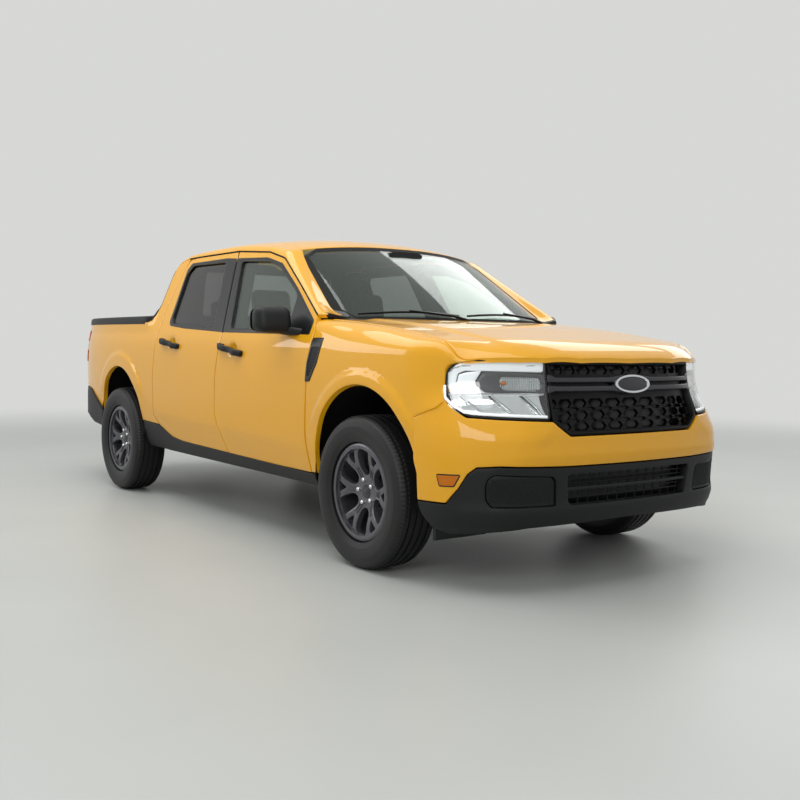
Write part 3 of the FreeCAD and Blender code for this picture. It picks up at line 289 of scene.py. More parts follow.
def panel(loops, place, out, thick, step=15.0, hem=2.5, lines=(), way=None):
    """A panel from its outline and openings, on a surface, with folded edges and a back.
    Returns its points, its faces, and what each face is: 0 front, 1 edge, 2 back; and each face's middle."""
    points, drops, edges, borders = [], [], [], []
    for number, loop in enumerate(loops):
        dense = divided(loop, step)
        if (turning(dense) > 0) != (number == 0):
            dense = dense[::-1]
        borders.append(dense)
        along = np.roll(dense, -1, 0) - np.roll(dense, 1, 0)
        inward = np.stack([-along[:, 1], along[:, 0]], 1) / (np.linalg.norm(along, axis=1)[:, None] + 1e-9)
        for share in (0.0, 0.3, 1.0):
            first = len(points)
            points += list(dense + inward * hem * share)
            drops += [hem * (1 - math.sqrt(1 - (1 - share) ** 2))] * len(dense)
            edges += [(first + k, first + (k + 1) % len(dense)) for k in range(len(dense))]
    for stroke in [divided(line, step, False) for line in lines]:
        kept = within(stroke, borders[0])
        for k, point in enumerate(stroke):
            if kept[k]:
                if k and kept[k - 1]:
                    edges.append((len(points) - 1, len(points)))
                points.append(point)
                drops.append(0.0)
    low, high = borders[0].min(0), borders[0].max(0)
    rise = step * 0.87
    grid = np.array([(a + (row % 2) * step / 2, b) for row, b in enumerate(np.arange(low[1], high[1], rise))
                     for a in np.arange(low[0], high[0], step)])
    if len(grid):
        grid = grid[between(grid, borders)]
        fixed = np.array(points)
        grid = grid[nearest(grid, fixed) > step * 0.5] if len(grid) else grid
        points += list(grid)
        drops += [0.0] * len(grid)
    flat, _, triangles, sources, _, _ = delaunay_2d_cdt([Vector(p) for p in points], edges, [], 0, 1e-5)
    flat = np.array([tuple(p) for p in flat])
    drop = np.array([max([drops[s] for s in group], default=0.0) for group in sources])
    triangles = np.array([tuple(t) for t in triangles])
    middle = flat[triangles].mean(1)
    keep = between(middle, borders)
    triangles, middle = triangles[keep], middle[keep]
    used, triangles = np.unique(triangles, return_inverse=True)
    triangles = triangles.reshape(-1, 3)
    flat, drop = flat[used], drop[used]
    a, b = flat.T
    normal = facing(place, a, b, out)
    ground = place(a, b)
    corners = ground[triangles]
    turned = np.cross(corners[:, 1] - corners[:, 0], corners[:, 2] - corners[:, 0])
    if (turned * normal[triangles[:, 0]]).sum() < 0:
        triangles = triangles[:, ::-1]
    depth = thick(a, b, nearest(flat, np.concatenate(borders))) if callable(thick) else np.full(len(a), float(thick))
    down = -normal if way is None else np.array(way, float)
    front = ground - normal * drop[:, None]
    back = ground + down * depth[:, None]
    count = len(front)
    sides = {}
    for t in triangles:
        for k in range(3):
            sides[(t[k], t[(k + 1) % 3])] = True
    rim = [(q, p, p + count, q + count) for p, q in sides if (q, p) not in sides]
    faces = [tuple(t) for t in triangles] + rim + [tuple(t[::-1] + count) for t in triangles]
    kinds = [0] * len(triangles) + [1] * len(rim) + [2] * len(triangles)
    spots = np.concatenate([middle, flat[[r[0] for r in rim]].reshape(-1, 2), middle])
    return np.concatenate([front, back]), faces, np.array(kinds), spots


def piece(name, mesh, finishes, body="shell", picks=None, stands_for=(), sharp=35.0):
    """One piece from a mesh's points in millimetres and faces. picks chooses each face's finish from the list."""
    data = bpy.data.meshes.new(name)
    data.from_pydata((np.array(mesh[0], float) * 0.001).tolist(), [], [tuple(int(i) for i in f) for f in mesh[1]])
    for finish in finishes if isinstance(finishes, list) else [finishes]:
        data.materials.append(finish)
    if picks is not None:
        data.polygons.foreach_set("material_index", np.array(picks, np.int32))
    data.polygons.foreach_set("use_smooth", np.ones(len(data.polygons), bool))
    data.set_sharp_from_angle(angle=math.radians(sharp))
    made = bpy.data.objects.new(name, data)
    bpy.context.scene.collection.objects.link(made)
    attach(made, body)
    if stands_for:
        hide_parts(*stands_for)
    return made


def both_sides(name, mesh, finishes, body="shell", picks=None, stands_for=(), sharp=35.0):
    """The same piece on the left and, mirrored, on the right. A @ in a name is the side."""
    made = []
    for side, sign in (("left", 1.0), ("right", -1.0)):
        turned = mesh[1] if sign > 0 else [tuple(f)[::-1] for f in mesh[1]]
        made.append(piece(name + "_" + side, (np.array(mesh[0], float) * (1.0, sign, 1.0), turned), finishes,
                          body.replace("@", side), picks, [n.replace("@", side) for n in stands_for], sharp))
    return made


def surface(name, colour, roughness, grain=0.0, relief=0.0, **sockets):
    """A finish with its colour and, where grain is given, a fine relief of that size in millimetres."""
    made, tree = new_finish(name)
    inputs = {"Base Color": tint(colour), "Roughness": roughness}
    inputs.update({key.replace("_", " "): value for key, value in sockets.items()})
    shader = add(tree, "BsdfPrincipled", inputs)
    add(tree, "OutputMaterial", {"Surface": shader.outputs[0]})
    spot = add(tree, "TexCoord")
    if grain:
        noise = add(tree, "TexNoise", {"Vector": spot.outputs["Object"], "Scale": 1000.0 / grain, "Detail": 3.0})
        bump = add(tree, "Bump", {"Height": noise.outputs[0], "Strength": 1.0, "Distance": relief * 0.001})
        tree.links.new(bump.outputs[0], shader.inputs["Normal"])
    return made


def mottled(made, kind, low, high, inputs, **settings):
    """Mixes two colours into a finish by a texture."""
    tree = made.node_tree
    texture = add(tree, kind, {"Vector": tree.nodes["Texture Coordinate"].outputs["Object"], **inputs}, **settings)
    mixed = add(tree, "Mix", {0: texture.outputs[0], 6: tint(low), 7: tint(high)}, data_type="RGBA")
    tree.links.new(mixed.outputs[2], tree.nodes["Principled BSDF"].inputs["Base Color"])


# Two-coat enamel: a warm yellow base under clear lacquer. The base carries a fine
# metallic flake, and the lacquer a faint orange peel of about 6 mm.
body_paint = surface("yellow_enamel", "#E3A20C", 0.45, 6.0, 0.012, Coat_Weight=0.85, Specular_IOR_Level=0.15,
                     Coat_Roughness=0.03, Coat_IOR=1.47)
mottled(body_paint, "TexNoise", "#DE9D08", "#E8A810", {"Scale": 700.0, "Detail": 1.0})

# Grained polypropylene: black trim moulded in colour, with a leather grain of about
# 2 mm, drawn at 3 mm so that it shows.
black_trim = surface("grained_polypropylene", "#17181A", 0.5, 3.0, 0.06, Specular_IOR_Level=0.3)
mottled(black_trim, "TexNoise", "#0D0E0F", "#151618", {"Scale": 9.0, "Detail": 4.0})

# Satin black ABS and dark rubber seals for the window frames and pillar covers.
satin_black = surface("satin_abs", "#0E0F10", 0.3, 5.0, 0.01, Specular_IOR_Level=0.35)
seal_rubber = surface("seal_rubber", "#0B0C0C", 0.75, 1.5, 0.03, Specular_IOR_Level=0.25)

# Cabin trim: soft moulded plastic with a fine leather grain.
cabin_trim = surface("moulded_cabin_trim", "#3A3C3F", 0.62, 2.5, 0.07)

REAR_AXLE = -1439.5
FRONT_AXLE = 1636.5
AXLE_HEIGHT = 362.0
BELT = 1115.0
REAR_ARCH = (REAR_AXLE, 485.0)
REAR_ARCH_RADIUS = 392.0
FRONT_ARCH = (1650.5, 440.0)
FRONT_ARCH_RADIUS = 428.0
LIP_LINES = [(REAR_ARCH, 497.0), (FRONT_ARCH, 500.0)]
LIP_RISE = 10.0
LIP_WIDTH = 34.0
FOLD_SLOPE = 0.17
HANDLE_SPOTS = [(-541.0, 1046.0), (321.0, 1015.0)]
CUP_DEPTH = 15.0
section = curve([(280, 860), (335, 868), (450, 880), (560, 888), (700, 893), (850, 894), (1000, 887), (1060, 879),
                 (1115, 864), (1160, 848), (1300, 796), (1430, 748), (1545, 704), (1620, 674), (1720, 632)])
plan = curve([(-2460, 0.860), (-2300, 0.915), (-2100, 0.957), (-1800, 0.986), (-1440, 1.0), (-1000, 1.0),
              (-400, 1.0), (400, 1.0), (800, 1.0), (1200, 1.003), (1640, 1.010), (1900, 1.006), (2100, 0.990),
              (2250, 0.962), (2350, 0.925), (2450, 0.860)])


def half_width(x, z):
    """Half the body's width, with the arch lips, the low fold and the handle cups."""
    width = section(z)
    upper = section(BELT)
    lean = np.interp(x, [-1000, -905], [0.30, 1.0])
    width = np.where(z > BELT, upper - (upper - width) * lean, width)
    soft = 3.5 + 50 * eased((x - 950) / 250) + 50 * eased((-700 - x) / 250)
    below = (566.5 - 0.0285 * x - z) / soft
    width = width - FOLD_SLOPE * soft * np.logaddexp(0, np.clip(below, -60, 60))
    width = width * plan(x) - 70.0 * np.clip((x - 1990) / 230, 0, 1.3) ** 2 * eased((z - 735) / 160)
    for (cx, cz), line in LIP_LINES:
        radius = np.hypot(x - cx, z - cz)
        inside = np.clip((line - radius) / LIP_WIDTH, 0, 1)
        rise = LIP_RISE * (1 - (1 - inside) ** 2) * eased((z - cz - 160) / 150)
        width = width + np.where(radius < line, rise, 0)
    for cx, cz in HANDLE_SPOTS:
        away = ((x - cx) / 62) ** 2 + ((z - cz) / 48) ** 2
        width = width - CUP_DEPTH * np.clip(1 - away, 0, 1) ** 1.5
    return width


def width_at(x, z):
    """Half the body's width at one place."""
    return float(half_width(np.array(x), np.array(z)))


def on_side(x, z):
    """A point of the left flank."""
    x, z = np.broadcast_arrays(x, z)
    return np.stack([x, half_width(x, z), z], -1)


def spot_on(place, a, b):
    """One point of a placed surface."""
    return place(np.array(a), np.array(b)).astype(float)


SIDE = (0.0, 1.0, 0.0)
SKIN = 30.0
lip_strokes = [arc(centre, radius - inset, 22, 158, 2.0) for centre, radius in LIP_LINES
               for inset in (0.0, LIP_WIDTH * 0.5)]
fold_stroke = [(x, 566.5 - 0.0285 * x) for x in np.arange(-860, 1170, 40)]
quarter = rounded([(-2300, 702), (-2404, 706), (-2404, 1196), (-1000, 1183), (-950, 1196), (-922, 1232),
                   (-903, 1300), (-886, 1435), (-877, 1500), (-866, 1532),
                   (-840, 1562), (-800, 1582), (-750, 1593),
                   (-690, 1600), (-707, 1562), (-771, 1400), (-799, 1277), (-806, 1040), (-828, 860), (-836, 560),
                   (-775, 510), (-985, 516)], 5.0)
quarter += arc(REAR_ARCH, REAR_ARCH_RADIUS, 4.6, 172.0)
both_sides("rear_quarter", panel([quarter], on_side, SIDE, SKIN, 14.0, 2.5, lip_strokes), body_paint, "shell",
           stands_for=["body_side_@"])

# Sill covers: black moulded strips clipped along the rockers. At the back they sweep
# up to the rear wheel arch.
SILL_PROUD = 7.0


def on_sill(x, z):
    """The sill cover's face, rounded out a little from the flank."""
    points = on_side(x, z)
    bulge = SILL_PROUD * np.sin(np.clip((z - 325) / 80, 0, 1) * math.pi / 2) * eased((560 - z) / 40)
    points[..., 1] += bulge
    return points


sill = rounded([(1222, 392), (-440, 424), (-590, 441), (-748, 503), (-980, 514), (-1046, 520)], 30.0)
sill += rounded([(-1046, 470), (-1015, 345), (1222, 333)], 14.0)
both_sides("sill_cover", panel([sill], on_sill, SIDE, 46.0, 16.0, 5.0, [[(-1000, 372), (1222, 362)]]), black_trim)

# Cab frame: the welded inner side behind the doors. It carries the rubber seals and
# shows only with a door open or through the glass.
FRAME_DEPTH = 38.0
frame_outer = [(1190, 345), (1190, 1120), (1160, 1190), (600, 1490), (400, 1560), (-700, 1585), (-850, 1550),
               (-880, 1300), (-895, 1150), (-895, 345)]
front_door = [(208, 402), (208, 423), (107, 627), (116, 860), (162, 1110), (12, 1600), (411, 1570), (616, 1523),
              (877, 1372), (1164, 1197), (1193, 1123), (1157, 860), (1138, 583), (1150, 400)]
rear_door = [(-830, 560), (-822, 860), (-800, 1040), (-793, 1277), (-765, 1400), (-701, 1560), (-665, 1592),
             (-560, 1599), (-1, 1600), (156, 1110), (110, 860), (101, 627), (202, 423), (202, 402), (-476, 425),
             (-590, 441), (-700, 478), (-752, 503)]


def opening(points, inset):
    """An outline moved in on itself by an even step."""
    dense = divided(points, 12.0)
    side = 1.0 if turning(dense) > 0 else -1.0
    along = np.roll(dense, -3, 0) - np.roll(dense, 3, 0)
    inward = np.stack([-along[:, 1], along[:, 0]], 1) / np.linalg.norm(along, axis=1)[:, None]
    return dense + inward * inset * side


def smooth_side(x, z):
    """The flank without its lips, fold and cups."""
    return np.stack([x, section(z) * plan(x), z], -1)


gap_outline = [(1120, 400), (1102, 583), (1120, 860), (1148, 1090), (860, 1320), (590, 1462), (405, 1512), (70, 1540),
               (205, 1110), (162, 860), (150, 640), (262, 420)]
rear_gap = [(-745, 560), (-775, 860), (-752, 1040), (-745, 1277), (-720, 1390), (-665, 1520), (-560, 1545),
            (-30, 1545), (104, 1110), (62, 860), (50, 640), (140, 440), (-440, 440), (-560, 470), (-660, 520)]
mesh = panel([rounded(frame_outer, 20.0), rounded(gap_outline, 30.0), rounded(rear_gap, 30.0)],
             sunk(smooth_side, FRAME_DEPTH, SIDE), SIDE, 78.0, 22.0, 3.0, way=(0, -1, 0))
# Near the top of the centre pillar the frame's face takes the dark cabin trim as painted shade, so the gap between the
# doors shows dark there.
dark = (mesh[3][:, 1] > 1095) & (np.abs(mesh[3][:, 0] - 80) < 140)
both_sides("cab_frame", mesh, [body_paint, cabin_trim], "shell", (mesh[2] != 0) | dark)

# Doors: steel skins hung at the front edge, each a closed shell with its own inner
# trim. The outer skin runs up round the glass as the window frame.
rear_window = rounded([(-640, 1198), (-600, 1172), (14, 1142), (-120, 1545), (-600, 1550), (-650, 1500)], 24.0)
front_window = rounded([(245, 1136), (100, 1538), (440, 1519), (600, 1474), (850, 1340), (1010, 1240), (1020, 1130)],
                       20.0)


def door_depth(a, b, edge):
    """Thin at the shut line, deep behind the panel, and slim round the glass."""
    deep = np.where(b < BELT - 15, 104.0, 34.0)
    return 28.0 + (deep - 28.0) * eased((edge - 16) / 26)


for name, outline, window in (("front", front_door, front_window), ("rear", rear_door, rear_window)):
    mesh = panel([rounded(outline, 7.0), window], on_side, SIDE, door_depth, 14.0, 2.5,
                 lip_strokes + [fold_stroke], way=(0, -1, 0))
    spots = mesh[3]
    low_trim = np.where(spots[:, 1] > 480, 2, 0)
    pillar = (spots[:, 1] > 1112) & (np.abs(spots[:, 0] - 75) < 120)
    reveal = np.where((nearest(spots, divided(window, 15.0)) < 8) | pillar, 1, 0)
    rolled = np.where(pillar & (spots[:, 1] < 1540) & (nearest(spots, divided(outline, 10.0)) < 14), 1, 0)
    picks = np.where(mesh[2] == 0, rolled, np.where(mesh[2] == 2, low_trim, reveal))
    both_sides("door_" + name, mesh, [body_paint, satin_black, cabin_trim], "door_" + name + "_@",
               picks, ["door_" + name + "_@"])

# Window surrounds: satin black strips round each opening, with the wide black cover
# on the centre pillar. They are clipped over the door frames.
SURROUND_PROUD = 2.0
rear_band = [(-668, 1184), (-640, 1158), (-420, 1140), (30, 1120), (151, 1115), (11, 1561), (-120, 1571),
             (-630, 1568), (-672, 1530)]
front_band = [(164, 1114), (1150, 1100), (1156, 1172), (872, 1352), (609, 1499), (405, 1544), (28, 1562)]
front_hole = [(245, 1136), (100, 1538), (440, 1519), (600, 1474), (850, 1340), (900, 1305), (905, 1130)]
for name, outline, window in (("front", front_band, rounded(front_hole, 20.0)), ("rear", rear_band, rear_window)):
    band = panel([rounded(outline, 12.0), window], shifted(on_side, 0, SURROUND_PROUD), SIDE, 6.0, 14.0, 1.5,
                 way=(0, -1, 0))
    both_sides("window_surround_" + name, band, satin_black, "door_" + name + "_@")

# Door glass: tempered panes 5 mm thick. The front pair is clear with a faint green
# cast, and the rear pair is dark privacy glass.


def glass(name, colour, shade=None, ripple=(5.0, 0.0003), gloss=0.01, least=0.04):
    """A clear pane: light passes straight through, some of it caught by dust of the shade's colour, under a mirror.
    ripple is the scale and height of the waves in its face; least is the mirrored share seen face on."""
    made, tree = new_finish(name)
    spot = add(tree, "TexCoord")
    wave = add(tree, "TexNoise", {"Vector": spot.outputs["Object"], "Scale": ripple[0], "Detail": 1.0})
    bump = add(tree, "Bump", {"Height": wave.outputs[0], "Strength": 1.0, "Distance": ripple[1]})
    clear = add(tree, "BsdfTransparent", {"Color": tint(colour)})
    mirror = add(tree, "BsdfGlossy", {"Color": tint("#FFFFFF"), "Roughness": gloss, "Normal": bump.outputs[0]})
    if shade:
        body = add(tree, "BsdfDiffuse", {"Color": tint(shade)})
        clear = add(tree, "MixShader", {0: 0.03, 1: clear.outputs[0], 2: body.outputs[0]})
    # A real pane mirrors 4 % face on and far more at a slant, on both of its faces alike.
    slant = add(tree, "LayerWeight", {"Blend": 0.5, "Normal": bump.outputs[0]})
    steep = add(tree, "Math", {0: slant.outputs["Facing"], 1: 5.0}, operation="POWER")
    share = add(tree, "Math", {0: steep.outputs[0], 1: 0.95, 2: least}, operation="MULTIPLY_ADD")
    whole = add(tree, "MixShader", {0: share.outputs[0], 1: clear.outputs[0], 2: mirror.outputs[0]})
    add(tree, "OutputMaterial", {"Surface": whole.outputs[0]})
    return made


# Tempered glass, green-grey by its iron.
front_glass = glass("tempered_glass", "#E0E9E3", "#8C9994")
# Privacy glass, dyed grey through its depth.
privacy_glass = glass("privacy_glass", "#C2C1C2", "#202325")
PANE_DEPTH = 10.0
GLASS_THICK = 5.0
for name, outline, finish, slot in (("front", front_window, front_glass, "clear_glass"),
                                    ("rear", rear_window, privacy_glass, "dark_glass")):
    pane = opening(outline, -9.0)
    both_sides("pane_" + name, panel([pane], sunk(smooth_side, PANE_DEPTH, SIDE), SIDE, GLASS_THICK, 30.0, 1.0),
               finish, "door_" + name + "_@", stands_for=["glass_" + name + "_@"])

# Front wings: one pressing each from the headlamp to the door, turned in over the top
# to meet the hood. The wheel arch carries the same raised lip as the rear.
hood_line = curve([(1000, 1208), (1150, 1200), (1300, 1192), (1650, 1167), (1940, 1137), (2235, 1095), (2405, 1057),
                   (2490, 1003), (2620, 880), (2760, 740)])
HOOD_HALF = 780.0
HOOD_SWEEP = 136.0
RIDGE_HALF = 640.0
RIDGE_RISE = 9.0
front_half = [(2490, 0), (2479, 300), (2440, 480), (2388, 580), (2325, 670), (2268, 738), (2246, 760), (2222, 775),
              (2185, 780)]
front_run = curve([(y, x) for x, y in front_half[:6]] + [(780, 2225)])


def hood_height(x, y):
    """The hood's top, with the low ridge along each side; its front edge keeps one height."""
    y = np.abs(y)
    turn = eased((x - 2040) / 215)
    sweep = HOOD_SWEEP * (y / HOOD_HALF) ** 2
    height = hood_line(x + sweep * (1 - turn) + (2490 - front_run(y)) * turn)
    ridge = RIDGE_HALF + 40 * (2300 - x) / 1000
    ramp = 1 - eased((x - 2200) / 160)
    return height + RIDGE_RISE * (eased((ridge - 30 - y) / 60) - 1) * ramp


WING_TOP = 1212.0
hood_corner = [(2190, 780), (2225, 777), (2250, 758), (2270, 736), (2300, 702)]


def on_wing(x, t):
    """The wing: up the flank while t is low, then over the shoulder to the hood's edge at WING_TOP."""
    x, t = np.broadcast_arrays(x, t)
    turn = 1012.0 - 66.0 * eased((x - 2040) / 200)
    flank = on_side(x, np.minimum(t, turn))
    share = np.clip((t - turn) / (WING_TOP - turn), 0, 1)
    low = on_side(x, turn)
    slope = (low - on_side(x, turn - 10)) / 10
    top_y = np.interp(x, *np.array(hood_corner, float).T)
    top_z = hood_height(x, top_y) - 2
    rise = np.maximum(top_z - turn, 20)
    full = 1 - eased((x - 1180) / 380)
    bend_1 = low + slope * (rise * (0.62 + 0.26 * full))[..., None]
    top = np.stack([x, top_y + 3, top_z], -1)
    bend_2 = top + np.stack([0 * x, (58 + 6 * full) * (1 - 0.6 * eased((x - 2100) / 150)), -7 + 3 * full], -1)
    s = share[..., None]
    over = (1 - s) ** 3 * low + 3 * s * (1 - s) ** 2 * bend_1 + 3 * s * s * (1 - s) * bend_2 + s ** 3 * top
    return np.where((t > turn)[..., None], over, flank)


wing_lamp = [(2176, 790), (2199, 816), (2187, 879), (2186, 950), (2196, 985), (2213, 1024), (2240, 1128), (2260, 1190),
             (2286, 1213)]
wing_loop = rounded([(1158, 404), (1298, 404)], 3.0) + arc(FRONT_ARCH, FRONT_ARCH_RADIUS, 184.8, 10, 3.0)
wing_loop += [(2078, 514), (2063, 745)] + wing_lamp
wing_loop += [(1176, 1213), (1179, 1150), (1188, 1112), (1200, 1076), (1166, 860), (1148, 583)]
both_sides("front_wing", panel([wing_loop], on_wing, (0, 1, 0.35), 26.0, 14.0, 2.5, lip_strokes, way=(0, -1, -0.25)),
           body_paint, "shell", stands_for=["front_wing_@"])

# Hood: a double-skinned steel lid hinged at the windscreen. A low ridge runs down each
# side, and the front edge rolls over onto the headlamps.
hood_rear = [(1436, 0), (1426, 200), (1400, 400), (1370, 510), (1330, 600), (1262, 720), (1225, 780)]
hood_loop = front_half + hood_rear[::-1]
hood_loop += [(x, -y) for x, y in hood_loop[:0:-1] if y != 0]


def on_hood(x, y):
    """A point of the hood's top."""
    x, y = np.broadcast_arrays(x, y)
    return np.stack([x, y, hood_height(x, y)], -1)


ridge_strokes = [[(x, side * (RIDGE_HALF + 40 * (2300 - x) / 1000 + shift)) for x in range(1300, 2250, 40)]
                 for side in (1, -1) for shift in (-30, 0, 30)]
piece("hood_lid", panel([rounded(hood_loop, 10.0)], on_hood, (0.3, 0, 1), 19.0, 18.0, 4.0, ridge_strokes,
                        way=(0, 0, -1)), body_paint, "hood", stands_for=["hood"])

# Roof: one steel pressing over the cab, with the rails above the doors and down both
# windscreen pillars welded in. Black seal strips close its edges.
roof_line = curve([(-1000, 1560), (-900, 1612), (-760, 1652), (-500, 1682), (-150, 1695), (200, 1690), (450, 1668),
                   (620, 1636), (720, 1609), (850, 1570)])
ROOF_HALF = 640.0
header_line = curve([(0, 700), (300, 686), (500, 648), (625, 607), (720, 575)])
rail_edge = [(-866, 1534), (-840, 1566), (-800, 1586), (-750, 1597), (-700, 1603), (-560, 1606), (0, 1607),
             (411, 1576), (616, 1529), (877, 1378), (1168, 1203), (1240, 1200)]


def roof_edge(x):
    """The height of the line where the doors stop and the roof rail begins."""
    return float(np.interp(x, *np.array(rail_edge).T))


def roof_height(x, y):
    """The roof's top."""
    drop = np.interp(x, [-850, -400, 0, 450], [22, 40, 50, 66])
    corner = 62.0 * eased((-690 - x) / 170)
    return roof_line(x) - drop * (np.abs(y) / ROOF_HALF) ** 2.4 - corner * (np.abs(y) / ROOF_HALF) ** 6


def on_roof(x, y):
    """A point of the roof's top."""
    x, y = np.broadcast_arrays(x, y)
    return np.stack([x, y, roof_height(x, y)], -1)


ROOF_REAR = -848.0
roof_front = [(header_line(abs(y)), y) for y in np.linspace(-600, 600, 21)]
roof_loop = [(ROOF_REAR + 18, -600), (ROOF_REAR, -560), (ROOF_REAR - 14, 0), (ROOF_REAR, 560), (ROOF_REAR + 18, 600)]
roof_loop = roof_front + roof_loop[::-1]
mesh = panel([roof_loop], on_roof, (0, 0, 1), 34.0, 22.0, 2.0, way=(0, 0, -1))
piece("roof_skin", mesh, [body_paint, cabin_trim], "shell", mesh[2] == 2, ["roof"])

# Windscreen: laminated glass 5 mm thick, glued to the frame, with a black printed
# border. The same table of edges shapes the roof pillars.
sill_base = curve([(0, 1385), (400, 1345), (600, 1275), (705, 1215), (745, 1185)])
SCREEN_FOOT = 1178.0
SCREEN_BULGE = 14.0
FOOT_HALF = 745.0
HEAD_HALF = 640.0


def on_screen(share, row):
    """The windscreen's face: share 0 at the bottom to 1 at the top, row -1 to 1 across."""
    share, row = np.broadcast_arrays(share, row)
    foot_y, head_y = row * FOOT_HALF, row * HEAD_HALF
    foot = np.stack([sill_base(np.abs(foot_y)), foot_y, np.full(row.shape, SCREEN_FOOT)], -1)
    head_x = header_line(np.abs(head_y))
    head = np.stack([head_x, head_y, roof_height(head_x, head_y) - 3], -1)
    s = share[..., None]
    line = foot * (1 - s) + head * s
    bulge = SCREEN_BULGE * 4 * share * (1 - share) * (1 - row ** 2)
    return line + bulge[..., None] * np.array([0.6, 0.0, 0.8])


def grid_faces(rows, columns, around=False, looped=False):
    """Quads of a net of points; it may close on itself along its columns and its rows."""
    made = []
    for r in range(rows if looped else rows - 1):
        s = (r + 1) % rows
        for c in range(columns if around else columns - 1):
            d = (c + 1) % columns
            made.append((r * columns + c, r * columns + d, s * columns + d, s * columns + c))
    return made


def end_caps(rows, columns):
    """The faces that close both ends of a row of rings."""
    return [tuple(range(columns))[::-1], tuple((rows - 1) * columns + c for c in range(columns))]


def slab(points, depth, push):
    """A net of points thickened along push into a closed plate."""
    rows, columns = points.shape[:2]
    flat = points.reshape(-1, 3)
    push = np.array(push, float)
    front = grid_faces(rows, columns)
    count = len(flat)
    ring = list(range(columns)) + [r * columns + columns - 1 for r in range(1, rows)]
    ring += [(rows - 1) * columns + c for c in range(columns - 2, -1, -1)]
    ring += [r * columns for r in range(rows - 2, 0, -1)]
    rim = [(q, p, p + count, q + count) for p, q in zip(ring, ring[1:] + ring[:1])]
    back = [tuple(i + count for i in f[::-1]) for f in front]
    corners = flat[np.array(front)]
    normal = np.cross(corners[:, 1] - corners[:, 0], corners[:, 2] - corners[:, 0]).sum(0)
    faces = front + rim + back
    if normal @ push > 0:
        faces = [f[::-1] for f in faces]
    return np.concatenate([flat, flat + depth * push]), faces


shares, rows = np.meshgrid(np.linspace(-0.01, 1.0, 25), np.linspace(-1.0, 1.0, 49), indexing="ij")
SCREEN_IN = (-0.5, 0, -0.86)
piece("windscreen", slab(on_screen(shares, rows), GLASS_THICK, SCREEN_IN), front_glass, "shell",
      stands_for=["screens"])
BORDER_WIDE = 0.075
BORDER_TALL = 0.05
left, right, low, high = -1.0 + BORDER_WIDE, 1.0 - BORDER_WIDE, -0.01 + BORDER_TALL, 1.0 - BORDER_TALL
outer = divided([(-0.01, -1.0), (-0.01, 1.0), (1.0, 1.0), (1.0, -1.0)], 0.03)
inner = divided(rounded([(low, left), (low, right), (high, right), (high, left)], 0.06), 0.03)
facing_spots = np.array([outer[np.hypot(*(outer - spot).T).argmin()] for spot in inner])
net = np.stack([on_screen(*spots.T) for spots in (facing_spots, inner)]) - np.array(SCREEN_IN)
piece("windscreen_border", slab(np.concatenate([net, net[:, :1]], 1), 1.2, SCREEN_IN), seal_rubber)

# Roof rails and windscreen pillars: one strip each side from the door gap up to the
# roof and the glass. It is part of the same steel side frame.
SCREEN_TOP_X = 560
rail_stations = np.concatenate([np.linspace(-866, SCREEN_TOP_X, 44), np.linspace(575, 1168, 34),
                                np.linspace(1174, 1210, 6)])
screen_corner = [(560, 1.0, 0.94), (640, 0.9, 0.96), (760, 0.72, 0.975), (1070, 0.17, 0.985), (1140, 0.10, 0.975),
                 (1185, 0.055, 0.945), (1215, 0.02, 0.9), (1240, 0.0, 0.84)]
corner_x, corner_share, corner_row = np.array(screen_corner).T


def rail_start(x):
    """The rail's lower edge: on the door line, then over the top of the wing."""
    z = roof_edge(x)
    wide = width_at(x, z)
    return np.array([x, wide + (HOOD_HALF + 4 - wide) * float(eased((x - 1160) / 80)), z])


def rail_section(x):
    """One slice of the rail, from the doors to the roof or the glass."""
    outer = rail_start(x)
    low = np.array([x, width_at(x, outer[2] - 10), outer[2] - 10])
    rise = (np.array([x, width_at(x, outer[2]), outer[2]]) - low) / 10
    if x <= SCREEN_TOP_X:
        inner_x = max(x, ROOF_REAR + 16)
        inner = np.array([inner_x, 600.0, float(roof_height(inner_x, 600.0))])
        way = np.array([0, 26.0, -9.0])
    else:
        share, row = np.interp(x, corner_x, corner_share), np.interp(x, corner_x, corner_row)
        inner = spot_on(on_screen, share, row) + np.array([0, 0, 2.0])
        way = np.array([4.0, 16.0, -2.0])
    span = np.linalg.norm(outer - inner)
    arch = 0.42 - 0.32 * float(eased((x - 1120) / 110))
    p1 = outer + rise * span * arch
    p2 = inner + way / np.linalg.norm(way) * span * 0.38
    t = np.linspace(0, 1, 11)[:, None]
    return (1 - t) ** 3 * outer + 3 * t * (1 - t) ** 2 * p1 + 3 * t * t * (1 - t) * p2 + t ** 3 * inner


strip = np.array([rail_section(float(x)) for x in rail_stations])
points, faces = slab(strip, 22.0, (0, -0.55, -0.83))
centres = np.array([points[list(f)].mean(0) for f in faces])
both_sides("roof_rail", (points, faces), [body_paint, black_trim], "shell",
           (centres[:, 0] > 1190) & (centres[:, 1] < 800), sharp=40.0)


def tube(line, radius, sides=8, closed=False):
    """A round rod along a line of points; the radius may change along it."""
    line = np.array(line, float)
    radii = np.broadcast_to(radius, len(line))
    ahead = np.roll(line, -1, 0) - np.roll(line, 1, 0)
    if not closed:
        ahead[0], ahead[-1] = line[1] - line[0], line[-1] - line[-2]
    ahead /= np.linalg.norm(ahead, axis=1)[:, None]
    rest = np.array([0.0, 0.0, 1.0]) if abs(ahead[0][2]) < 0.9 else np.array([1.0, 0.0, 0.0])
    points = []
    for spot, way, r in zip(line, ahead, radii):
        rest = rest - way * (rest @ way)
        rest /= np.linalg.norm(rest)
        third = np.cross(way, rest)
        for k in range(sides):
            angle = 2 * math.pi * k / sides
            points.append(spot + r * (math.cos(angle) * rest + math.sin(angle) * third))
    faces = grid_faces(len(line), sides, True, closed)
    return np.array(points), faces if closed else faces + end_caps(len(line), sides)


